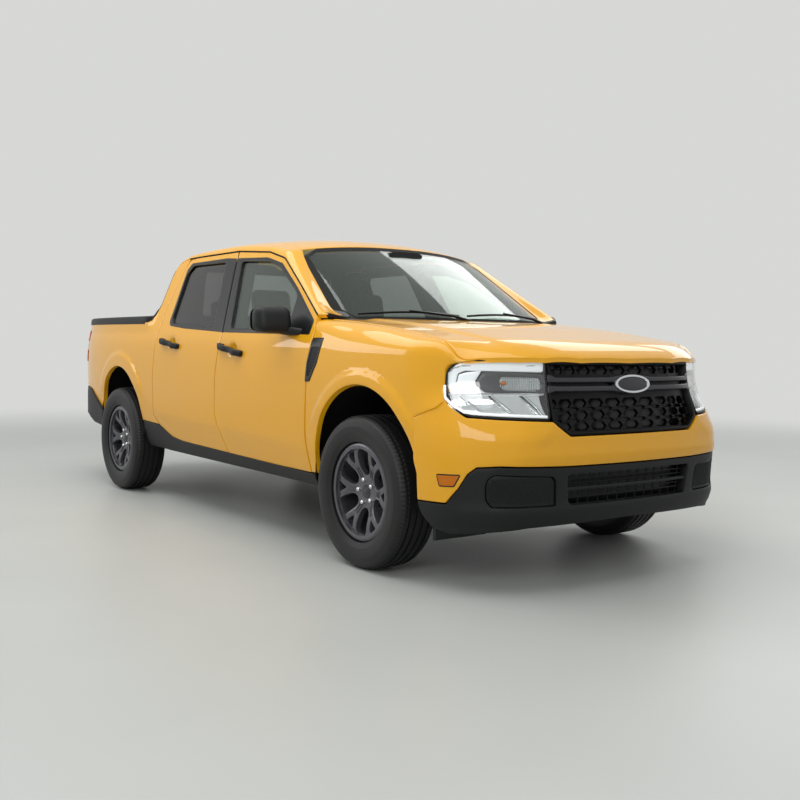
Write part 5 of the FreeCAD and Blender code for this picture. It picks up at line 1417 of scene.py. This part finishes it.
def round_window(shape, middle):
    """A window in the wheel's face, symmetric about an angle."""
    sides = [(r, d) for r, d in shape] + [(r, -d) for r, d in shape[::-1]]
    loop = [(r * math.cos(math.radians(middle + d)), r * math.sin(math.radians(middle + d))) for r, d in sides]
    return rounded(loop, 7.0)


def on_wheel(u, v):
    """The wheel's outer face: the hub lies deeper than the rim."""
    r = np.hypot(u, v)
    deep = 50 + 26 * eased((r - 66) / 116)
    return np.stack([u, deep, v], -1)


FACE_RADIUS = 213
wheel_loops = [[(FACE_RADIUS * math.cos(t), FACE_RADIUS * math.sin(t)) for t in turns(90)]]
for k in range(FORK_COUNT):
    middle = FORK_FIRST + 360 / FORK_COUNT * k
    wheel_loops.append(round_window(pocket_shape, middle))
    wheel_loops.append(round_window(window_shape, middle + 180 / FORK_COUNT))
face_mesh = panel(wheel_loops, on_wheel, SIDE, 30.0, 9.0, 4.5, way=(0, -1, 0))


def lathe(profile, sides=96, closed=True):
    """A ring turned about the wheel's axle from (across, radius) pairs."""
    rings = np.array([[(r * math.cos(t), y, r * math.sin(t)) for y, r in profile] for t in turns(sides)])
    count, size = rings.shape[:2]
    faces = []
    for k in range(count):
        m = (k + 1) % count
        for c in range(size if closed else size - 1):
            d = (c + 1) % size
            faces.append((k * size + c, m * size + c, m * size + d, k * size + d))
    flat = rings.reshape(-1, 3)
    volume = 0.0
    for f in faces:
        p = flat[list(f)]
        volume += p[0] @ np.cross(p[1], p[2]) + p[0] @ np.cross(p[2], p[3])
    return flat, faces if volume > 0 else [f[::-1] for f in faces]


barrel = lathe([(90, 205), (92, 212), (90, 226), (85, 232), (78, 233), (74, 224), (40, 221), (-74, 221), (-78, 233),
                (-86, 233), (-89, 226), (-86, 214), (-60, 206), (30, 202), (70, 203)])
hub = lathe([(30, 20), (42, 30), (44, 36), (40, 72), (20, 78), (-44, 80), (-49.4, 76), (-49.4, 20)], 48)
grooves = []
for k in range(FORK_COUNT):
    angle = math.radians(FORK_FIRST + 360 / FORK_COUNT * k)
    for shift in (-7, 7):
        line = []
        for r in np.linspace(72, 122, 8):
            u = r * math.cos(angle) - shift * math.sin(angle)
            v = r * math.sin(angle) + shift * math.cos(angle)
            line.append(spot_on(on_wheel, u, v) + np.array([0, 1.2, 0]))
        grooves.append(tube(line, 2.6, 6))
wheel = joined([face_mesh[:2], barrel, hub] + grooves)
NUT_CIRCLE = 57


def boss(steps, count, wide=1, tall=1, middle=(0, 0)):
    """A raised round or oval on the wheel's face: each step is a depth and a radius."""
    return ring_loft([[(middle[0] + r * wide * math.cos(t), d, middle[1] + r * tall * math.sin(t))
                       for t in turns(count)] for d, r in steps])


nut_steps = [(30, 11.5), (54, 11.5), (60, 10.6), (64, 8.0), (66, 4.0)]
wheel_nuts = joined([boss(nut_steps, 18, middle=(NUT_CIRCLE * math.cos(angle), NUT_CIRCLE * math.sin(angle)))
                     for angle in [math.radians(103 + 72 * k) for k in range(5)]])
wheel_cap = joined([boss([(36, 1.0), (50, 1.0), (53, 0.94), (53.5, 0.75)], 40, 33, 33),
                    boss([(52, 1.0), (55, 1.0), (56, 0.9)], 40, 24, 13)])
valve_angle = math.radians(FORK_FIRST + 30)
valve_line = [(r * math.cos(valve_angle), 62 + (198 - r) * 0.35, r * math.sin(valve_angle)) for r in (203, 192, 180)]
valve = tube(valve_line, [4.5, 4.0, 4.0], 10)
for name, x in wheel_spots:
    body = "wheel_" + name + "_@"
    both_sides("wheel_casting_" + name, at_wheel(wheel, x), satin_grey, body,
               stands_for=["rim_" + name + "_@"], sharp=32.0)
    both_sides("wheel_nuts_" + name, at_wheel(wheel_nuts, x), chrome, body)
    both_sides("wheel_cap_" + name, at_wheel(wheel_cap, x), grille_grey, body)
    both_sides("tyre_valve_" + name, at_wheel(valve, x), seal_rubber, body)

# Arch liners: black felted shells over each wheel. They close the wheel arches from
# the body inward and leave the steered tyres their room.
liner_felt = surface("pressed_fibre", "#0E0F0F", 0.95, 3.0, 0.25, Specular_IOR_Level=0.15)
LINER_THICK = 4.0


def liner(slices, first, last):
    """An arch shell through arcs of given width, centre and radius."""
    angles = np.radians(np.linspace(first, last, 46))
    rows = [[(x + radius * math.cos(t), y, z + radius * math.sin(t)) for t in angles] for y, x, z, radius in slices]
    return slab(np.array(rows), LINER_THICK, (0, 0, 1.0))


def wall_disc(centre, radius, first, last, y):
    """The flat inner wall of an arch."""
    angles = np.radians(np.linspace(first, last, 46))
    rows = [[(centre[0] + radius * s * math.cos(t), y, centre[1] + radius * s * math.sin(t)) for t in angles]
            for s in (0.55, 0.8, 1.0)]
    return slab(np.array(rows), LINER_THICK, (0, -1.0, 0))


TURN_SPACE = (1638.0, 388.0)
TURN_RADIUS = 470.0
slices = [(872, *FRONT_ARCH, FRONT_ARCH_RADIUS - 2), (866, *FRONT_ARCH, FRONT_ARCH_RADIUS + 12)]
slices += [(y, *TURN_SPACE, TURN_RADIUS) for y in (806, 620, 466)]
both_sides("front_arch_liner", joined([liner(slices, -12, 188), wall_disc(TURN_SPACE, TURN_RADIUS, -10, 186, 464)]),
           liner_felt, "shell")
wide = REAR_ARCH_RADIUS + 28
slices = [(872, *REAR_ARCH, REAR_ARCH_RADIUS - 2)] + [(y, *REAR_ARCH, wide) for y in (864, 760, 640)]
both_sides("rear_arch_liner", joined([liner(slices, -8, 188), wall_disc(REAR_ARCH, wide, -6, 186, 640)]),
           liner_felt, "shell")

# Air deflectors: black moulded flaps hung under the bumper ahead of each front tyre,
# with their corners rounded.
both_sides("air_deflector", ring_loft([[(2160 + u, y, 268 + v) for u, v in soft_box(11, 52, 0.35)]
                                       for y in (560, 566, 700, 838, 846)]), black_trim)

# Load bed: steel floor with pressed ribs, flat inner walls and wheel boxes, all in the
# body colour under a black sprayed liner. Four tie-down loops are bolted to each wall.
liner_spray = surface("sprayed_bed_liner", "#151617", 0.85, 4.0, 0.5, Specular_IOR_Level=0.25)
BED_FLOOR = 766.0
BED_HALF = 677.0
BED_BACK = -2345.0
BED_FRONT = -905.0
ribs_at = np.arange(-560, 561, 140)


def on_floor(x, y):
    """The bed floor, with its lengthwise ribs."""
    x, y = np.broadcast_arrays(x, y)
    rise = 0.0 * x
    for rib in ribs_at:
        rise = rise + 9.0 * eased((48 - np.abs(y - rib)) / 12)
    rise = rise * eased((x - BED_BACK - 40) / 50) * eased((BED_FRONT - 60 - x) / 50)
    return np.stack([x, y, BED_FLOOR + rise], -1)


rib_strokes = [[(BED_BACK + 8, rib + s), (BED_FRONT - 8, rib + s)] for rib in ribs_at for s in (-48, -36, 36, 48)]
floor_loop = [(BED_BACK, -BED_HALF), (BED_FRONT, -BED_HALF), (BED_FRONT, BED_HALF), (BED_BACK, BED_HALF)]
piece("bed_floor_liner", panel([floor_loop], on_floor, (0, 0, 1), 5.0, 26.0, 1.0, rib_strokes, way=(0, 0, -1)),
      liner_spray, "shell")


def on_wall(x, z):
    """The bed's side wall, swelling out over the wheel box."""
    x, z = np.broadcast_arrays(x, z)
    radius = np.hypot(x - REAR_AXLE, z - AXLE_HEIGHT)
    box = 136.0 * eased((474 - radius) / 22)
    panel_dent = 4.0 * eased((np.abs(z - 1060) - 40) / 14) - 4.0
    return np.stack([x, BED_HALF - 3 - box + panel_dent, z], -1)


box_strokes = [arc((REAR_AXLE, AXLE_HEIGHT), radius, 20, 160, 3.0) for radius in (474, 452)]
wall_loop = [(BED_BACK, BED_FLOOR - 6), (BED_FRONT, BED_FLOOR - 6), (BED_FRONT, 1188), (BED_BACK, 1196)]
both_sides("bed_wall_liner", panel([wall_loop], on_wall, (0, -1, 0), 3.0, 26.0, 1.0, box_strokes, way=(0, 1, 0)),
           liner_spray, "shell")
piece("bed_front_liner", panel([[(-BED_HALF, BED_FLOOR - 6), (BED_HALF, BED_FLOOR - 6), (BED_HALF, 1186),
                                 (-BED_HALF, 1186)]], lambda y, z: np.stack([BED_FRONT - 2 + 0 * y, y, z + 0 * y], -1),
                               (-1, 0, 0), 3.0, 60.0, 1.0, way=(1, 0, 0)), liner_spray, "shell")


def coat(node, finish):
    """Gives a finish to a CAD shape that stays in view."""
    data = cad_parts[node].data
    data.materials.clear()
    data.materials.append(finish)


coat("bed_tub", liner_spray)
loops = [tube([(x + 30 * math.cos(t), BED_HALF - 6 - 26 * math.sin(t), z) for t in np.linspace(0, math.pi, 12)], 5.0)
         for x in (-2230, -1000) for z in (850, 1130)]
both_sides("tie_down_loops", joined(loops), satin_black, "shell")

# Bed rail caps: black moulded covers on the top of each side. At the cab they rise
# in a short ramp.


def cap_slice(x):
    """The cap's outline at one place along the rail."""
    z = 1196.0 + 22.0 * float(np.interp(x, [-2420, -912], [0.2, 0.0]))
    ramp = 62.0 * float(eased((x + 1030) / 130)) ** 1.5
    outer = width_at(x, 1190.0) + 3 - 30 * float(eased((x + 1030) / 40))
    inner = 656.0
    top = 1226.0 + ramp
    corners = [(outer, z - 24), (outer + 1, z - 6), (outer - 3, top - 9), (outer - 13, top), (inner + 14, top + 2),
               (inner + 2, top - 6), (inner, z - 26), (inner + 6, z - 26), (inner + 8, z - 8), (outer - 12, z - 8),
               (outer - 8, z - 24)]
    return [(x, y, height) for y, height in corners]


cap_stations = np.concatenate([[-2418, -2415, -2408], np.linspace(-2400, -1010, 40), np.linspace(-1004, -908, 20)])
both_sides("rail_cap", ring_loft([cap_slice(float(x)) for x in cap_stations]), black_trim, sharp=30.0)
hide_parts("bed_rail_caps")
cleats = [ring_loft([[(x + u, 700 + v, z) for u, v in soft_box(38, 13, 0.4)] for z in (1226, 1231, 1232.5)])
          for x in (-2050, -1440, -1080)]
both_sides("stake_hole_covers", joined(cleats), satin_black)

# Tail lamps: upright lenses that wrap the rear corners, red above and below and clear
# in the middle. The red parts stand out a little further.
TAIL_LOW = 892.0
TAIL_HIGH = 1135.0
RED_TOP = TAIL_LOW + 92
RED_FOOT = TAIL_HIGH - 84
clear_prism = surface("clear_acrylic", "#E6E3E2", 0.1, Coat_Weight=0.6, Coat_Roughness=0.03)
# Fine prisms about 5 mm wide show behind the clear face.
mottled(clear_prism, "TexWave", "#BDB9B8", "#F1EFEE", {"Scale": 60.0, "Distortion": 0.0}, bands_direction="Z")


def tail_slice(z, grow):
    """The lens outline at one height: from the tailgate round the corner onto the flank."""
    x_front = -2330.0
    side = width_at(x_front, z) + 2 + grow
    corner = width_at(-2400.0, z) + 1 + grow
    line = [(x_front, side), (-2365, (side + corner) / 2 + 2), (-2400, corner), (-2424 - grow, corner - 16),
            (-2432 - grow, corner - 42), (-2434 - grow, 660)]
    back = [(-2398, 658), (-2360, corner - 60), (x_front + 2, side - 34)]
    return [(x, y, z) for x, y in line + back]


for name, low, high, finish, grow in (("lower", TAIL_LOW, RED_TOP, red_lens, 3.0),
                                      ("upper", RED_FOOT, TAIL_HIGH, red_lens, 3.0),
                                      ("middle", RED_TOP, RED_FOOT, clear_prism, 1.5)):
    levels = (low, grow - 4), (low + 3, grow), ((low + high) / 2, grow + 1), (high - 3, grow), (high, grow - 4)
    both_sides("tail_lamp_" + name, ring_loft([tail_slice(*level) for level in levels]), finish, "shell",
               sharp=25.0)
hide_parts("tail_lamps")

# Tailgate: a double steel skin with a pressed panel and a pull handle, hinged at the
# bottom. Its top carries a black strip.
GATE_X = -2436.0


def on_gate(y, z):
    """The tailgate's outer face, bowed a little, with its wide pressed panel."""
    y, z = np.broadcast_arrays(y, z)
    bow = 16.0 * (y / 650) ** 2
    edge = np.minimum(np.minimum(z - 800, 1100 - z), 560 - np.abs(y))
    press = 9.0 * eased(edge / 26)
    spoiler = -10.0 * eased((z - 1150) / 40)
    return np.stack([GATE_X + bow + press + spoiler, y, z], -1)


gate_loop = [(-646, 750), (646, 750), (624, 1192), (-624, 1192)]
press_strokes = [[(-half, low), (half, low), (half, high), (-half, high), (-half, low)]
                 for half, low, high in ((560, 800, 1100), (547, 813, 1087), (534, 826, 1074))]
handle_cut = rounded([(-115, 1112), (115, 1112), (115, 1146), (-115, 1146)], 12.0)
mesh = panel([rounded(gate_loop, 12.0), handle_cut], on_gate, AFT, 74.0, 18.0, 4.0, press_strokes, way=(1, 0, 0))
piece("tailgate_skin", mesh, [body_paint, liner_spray], "tailgate", mesh[2] == 2, ["tailgate"])
piece("tailgate_handle", ring_loft([[(x, u, 1129 + v) for u, v in soft_box(113, 16, 0.35, 32)]
                                    for x in (-2358, -2426, -2434, -2436)]), satin_black, "tailgate")
piece("tailgate_cap", ring_loft([[(-2394 + u, y, 1190 + v) for u, v in soft_box(46, 9, 0.5)]
                                 for y in np.linspace(-622, 622, 3)]), black_trim, "tailgate")
pins = [tube([(-2394, sign * 630, 768), (-2394, sign * 655, 768)], 10.0, 16) for sign in (-1, 1)]
piece("tailgate_trunnions", joined(pins), satin_black, "tailgate")

# Seats: foam cushions in grey woven cloth, with raised side bolsters, stitched seams
# and separate headrests, the front ones on steel posts.
seat_cloth = surface("woven_seat_cloth", "#55575A", 0.9, Specular_IOR_Level=0.2, Sheen_Weight=0.3, Sheen_Roughness=0.5)
tree = seat_cloth.node_tree
shader, spot = tree.nodes["Principled BSDF"], tree.nodes["Texture Coordinate"]
# A plain weave of about 2 mm, drawn at 5 mm so that it shows at this distance.
warp = add(tree, "TexWave", {"Vector": spot.outputs["Object"], "Scale": 63.0, "Distortion": 0.6}, bands_direction="Y")
weft = add(tree, "TexWave", {"Vector": spot.outputs["Object"], "Scale": 63.0, "Distortion": 0.6}, bands_direction="Z")
cross = add(tree, "Math", {0: warp.outputs[0], 1: weft.outputs[0]}, operation="MULTIPLY")
thread = add(tree, "Mix", {0: cross.outputs[0], 6: tint("#4A4C4F"), 7: tint("#67696C")}, data_type="RGBA")
raised = add(tree, "Bump", {"Height": cross.outputs[0], "Strength": 1.0, "Distance": 0.0006})
tree.links.new(thread.outputs[2], shader.inputs["Base Color"])
tree.links.new(raised.outputs[0], shader.inputs["Normal"])
bright_steel = surface("polished_steel", "#B9BBBD", 0.22, 3.0, 0.004, Metallic=1.0)


def cushion(outline, middle, half, bolster, edge=46.0, radius=34.0):
    """A stuffed shape: its side outline carried across, drawn in at both ends and raised at the sides."""
    loop = divided(rounded(outline, radius), 22.0)
    centre = loop.mean(0)
    rings = []
    for y in np.concatenate([-half + edge * (1 - np.cos(np.linspace(0, math.pi / 2, 6))),
                             np.linspace(-half + edge, half - edge, 13)[1:-1],
                             half - edge * (1 - np.cos(np.linspace(math.pi / 2, 0, 6)))]):
        end = half - abs(y)
        inset = edge * (1 - math.sqrt(max(0.0, 1 - (1 - min(end / edge, 1.0)) ** 2))) * 0.9
        away = loop - centre
        length = np.linalg.norm(away, axis=1)[:, None]
        side = float(eased((abs(y) - half * 0.52) / (half * 0.3))) if bolster else 0.0
        groove = 0.0 if not bolster else 7.0 * math.exp(-((abs(y) - half * 0.55) / 12) ** 2)
        shape = loop - away / length * (np.minimum(inset, length * 0.8) + groove - bolster * side)
        rings.append([(x, middle + y, z) for x, z in shape])
    return ring_loft(rings)


def stuffed(name, mesh):
    """One cushion in seat cloth."""
    made = piece(name, mesh, seat_cloth, "shell", sharp=60.0)
    return made


front_seat = [[(40, 400), (420, 400), (430, 470), (515, 545), (510, 640), (470, 655), (60, 610), (20, 560)],
              [(-10, 560), (60, 640), (30, 760), (-60, 1080), (-90, 1200), (-170, 1215), (-180, 1120), (-110, 800),
               (-70, 560)]]
front_rest = [(-118, 1222), (-132, 1330), (-160, 1392), (-215, 1385), (-222, 1300), (-190, 1216)]
rear_seat = [[(-690, 420), (-340, 420), (-240, 540), (-236, 640), (-280, 668), (-640, 640)],
             [(-640, 560), (-600, 660), (-700, 1120), (-735, 1180), (-815, 1180), (-790, 900), (-745, 560)]]
rear_rest = [(-738, 1190), (-752, 1300), (-775, 1338), (-822, 1325), (-826, 1240), (-808, 1186)]
SEAT_MIDDLE = 365
for side, middle in (("left", SEAT_MIDDLE), ("right", -SEAT_MIDDLE)):
    for part, outline in zip(("squab", "back"), front_seat):
        stuffed("front_seat_" + part + "_" + side, cushion(outline, middle, 245, 22.0))
    stuffed("front_headrest_" + side, cushion(front_rest, middle, 130, 0.0, 40.0, 26.0))
    posts = [tube([(-150, middle + d, 1180), (-165, middle + d, 1240)], 6.0, 10) for d in (-55, 55)]
    piece("front_headrest_posts_" + side, joined(posts), bright_steel, "shell")
    stuffed("rear_headrest_" + side, cushion(rear_rest, middle, 120, 0.0, 36.0, 20.0))
for part, outline in zip(("squab", "back"), rear_seat):
    bench = stuffed("rear_bench_" + part, cushion(outline, 0.0, 618, 16.0))
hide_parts("seats")
rails = [ring_loft([[(x, y + u, 388 + v) for u, v in soft_box(16, 14, 0.3)] for x in (20, 430)])
         for y in (-SEAT_MIDDLE - 190, -SEAT_MIDDLE + 190, SEAT_MIDDLE - 190, SEAT_MIDDLE + 190)]
piece("seat_rails", joined(rails), satin_black, "shell")

# Dashboard: moulded trim with a hooded dial binnacle, a centre screen, air vents and
# a console between the seats.
dash_side = [(1150, 760), (1150, 1096), (1100, 1126), (985, 1130), (860, 1092), (812, 1010), (815, 950), (872, 900),
             (880, 770), (1000, 700)]
dash_loop = divided(rounded(dash_side, 24.0), 24.0)
rings = []
for y in np.linspace(-692, 692, 45):
    hood = 26.0 * math.exp(-((y - 370) / 150) ** 4)
    ring = []
    for x, z in dash_loop:
        lift = hood * float(eased((z - 1040) / 60)) * float(eased((1060 - x) / 120))
        dish = 22.0 * float(eased((z - 880) / 60)) * float(eased((1060 - z) / 60)) * float(eased((900 - x) / 60))
        ring.append((x + dish * (1 if abs(y) < 600 else 0.2), y, z + lift))
    rings.append(ring)
piece("dashboard_top", ring_loft(rings), cabin_trim, "shell", stands_for=["dashboard"], sharp=45.0)
console_side = [(-60, 380), (900, 380), (900, 820), (840, 800), (640, 650), (300, 640), (280, 680), (-40, 690),
                (-70, 640)]
piece("centre_console", cushion(console_side, 0.0, 104, 0.0, 22.0, 24.0), cabin_trim, "shell",
      sharp=50.0)
piece("centre_screen", ring_loft([[(838 - d + (v * 0.25), u, 1085 + v) for u, v in soft_box(112, 70, 0.3, 32)]
                                  for d in (-14, 6, 9)]), grille_black, "shell")
vents = [tube([(822, y - 48, z), (822, y + 48, z)], 3.0, 6) for y in (-610, -230, 200, 560)
         for z in range(1000, 1055, 11)]
piece("air_vent_blades", joined(vents), satin_black, "shell")

# Steering wheel: a leather-wrapped rim on three spokes with a plain hub pad. It stands
# on its column behind the dials, tilted toward the driver.
leather = surface("dark_leather", "#1C1C1D", 0.5, 2.5, 0.12)
WHEEL_SPOT = np.array([600.0, 370.0, 1000.0])
WHEEL_TILT = math.radians(25)
wheel_out = np.array([-math.cos(WHEEL_TILT), 0.0, math.sin(WHEEL_TILT)])
wheel_up = np.array([math.sin(WHEEL_TILT), 0.0, math.cos(WHEEL_TILT)])


def on_rim(angle, radius, lift=0.0):
    """A point of the steering wheel in its own plane."""
    return (WHEEL_SPOT + radius * (math.sin(angle) * np.array([0, 1.0, 0]) + math.cos(angle) * wheel_up)
            + lift * wheel_out)


rim_line = [on_rim(t, 172.0) for t in turns(72)]
parts = [tube(rim_line, 14.5, 14, closed=True)]
for angle in (math.radians(90), math.radians(-90), math.radians(180)):
    spoke = [on_rim(angle, r, -12 + 8 * (r / 172)) for r in np.linspace(40, 168, 9)]
    parts.append(tube(spoke, np.linspace(20, 11, 9), 12))
pad = [[on_rim(t, r, h) for t in turns(36)] for r, h in ((62, -34), (66, -8), (60, 8), (40, 16), (12, 18))]
parts.append(ring_loft(pad))
piece("steering_wheel_rim", joined(parts), leather, "steering_wheel", stands_for=["steering_wheel"],
      sharp=50.0)
column = [WHEEL_SPOT - wheel_out * d for d in (44.0, 120.0, 230.0)]
piece("steering_column", tube(column, [52.0, 46.0, 44.0], 20), cabin_trim, "shell", sharp=50.0)

# Inner mirror and camera cover: a slim mirror and a black sensor cover hang behind the
# top of the windscreen.
head_x = float(header_line(0.0))
piece("inner_mirror", ring_loft([[(head_x + 62 + d, u, 1560 + v) for u, v in soft_box(118, 30, 0.45, 28)]
                                 for d in (-14, 0, 14, 18)]), satin_black, "shell")
piece("inner_mirror_glass", ring_loft([[(head_x + 61.0 + d - 17, u, 1560 + v) for u, v in soft_box(110, 24, 0.45, 28)]
                                       for d in (0.0, 1.5)]), mirror_glass, "shell")
rings = []
for share in np.linspace(0, 1, 7):
    spot_at = spot_on(on_screen, 0.97 - 0.2 * share, 0.0) + np.array([-14.0, 0, -22.0])
    wide = 70 - 26 * share
    rings.append([spot_at + np.array([v * 0.6, u, v]) for u, v in soft_box(wide, 20 - 8 * share, 0.5)])
piece("sensor_cover", ring_loft(rings), satin_black, "shell")

# Cowl and wipers: a black slotted cowl closes the gap between glass and hood, with two
# wiper arms parked along the foot of the windscreen.
rows = []
for share in np.linspace(0, 1, 5):
    line = []
    for row in np.linspace(-0.975, 0.975, 75):
        y = row * FOOT_HALF
        foot = spot_on(on_screen, 0.01, row)
        ahead = float(sill_base(abs(y))) + 52
        line.append((foot[0] - 6 + (ahead - foot[0] + 6) * share, y, foot[2] + 2 - 22 * share
                     + 6 * math.sin(share * 3.14)))
    rows.append(line)
piece("cowl", slab(np.array(rows), 6.0, (0, 0, -1.0)), black_trim, sharp=50.0)


def wiper(first, last, pivot):
    """A wiper: its blade along the glass and its arm from the pivot."""
    blade = []
    for t in np.linspace(0, 1, 24):
        row = first + (last - first) * t
        share = 0.045 + 0.03 * math.sin(t * math.pi)
        blade.append(spot_on(on_screen, share, row) + np.array([8.0, 0, 12.0]))
    middle = np.array(blade[12]) + np.array([2.0, 0, 8.0])
    foot = spot_on(on_screen, 0.0, pivot) + np.array([34.0, 0, 4.0])
    knee = foot * 0.72 + middle * 0.28 + np.array([0, 0, 12.0])
    return joined([tube(blade, 6.0, 8), tube([foot, knee, middle], [10.0, 7.0, 5.0], 8)])


piece("wipers", joined([wiper(0.80, -0.02, 0.80), wiper(-0.10, -0.86, -0.05)]), satin_black)

# Aerial: a short black rod that leans back from a moulded foot. It stands on the
# middle of the roof, near its rear edge.
AERIAL_X = -430.0
AERIAL_TOP = 1744
base_z = float(roof_height(AERIAL_X, 0.0))
foot_mesh = ring_loft([[(AERIAL_X + 34 * (1 - s) * math.cos(t) - 10 * s, 22 * (1 - s) * math.sin(t),
                         base_z - 4 + 26 * s) for t in turns(24)] for s in (0.0, 0.2, 0.45, 0.7, 0.86)])
rod = tube([(AERIAL_X - 6, 0, base_z + 14), (AERIAL_X - 40, 0, AERIAL_TOP)], [4.5, 3.0], 10)
piece("aerial_rod", joined([foot_mesh, rod]), satin_black)

# Underside and engine: the CAD shapes stand, in waxed black steel, bare exhaust steel
# and dull cast aluminium.
wax = surface("waxed_chassis_steel", "#1A1B1C", 0.6, 6.0, 0.15)
# Road dust in patches of about 60 mm.
mottled(wax, "TexNoise", "#141516", "#2B2B2A", {"Scale": 16.0, "Detail": 5.0})
exhaust = surface("stainless_exhaust", "#77756F", 0.38, 8.0, 0.02, Metallic=0.9)
casting = surface("cast_aluminium", "#8A8C8D", 0.5, 3.0, 0.12, Metallic=0.7)
disc_iron = surface("turned_disc_iron", "#6E6E70", 0.35, 2.0, 0.02, Metallic=0.9)
for node, finish in (("platform", wax), ("front_suspension", wax), ("rear_axle", wax), ("tank_and_exhaust", exhaust),
                     ("engine", casting), ("knuckle_left", disc_iron), ("knuckle_right", disc_iron)):
    coat(node, finish)
slam = [(2250, -690), (2400, -500), (2430, 0), (2400, 500), (2250, 690), (2190, 690), (2190, -690)]
piece("slam_panel", panel([slam], lambda x, y: np.stack([x, y, 978 + 0 * x], -1), (0, 0, 1), 20.0, 60.0, 3.0,
                          way=(0, 0, -1)), satin_black)

size = [[list(low), list(high)] for low, high in ((cad_low, cad_high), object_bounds())]
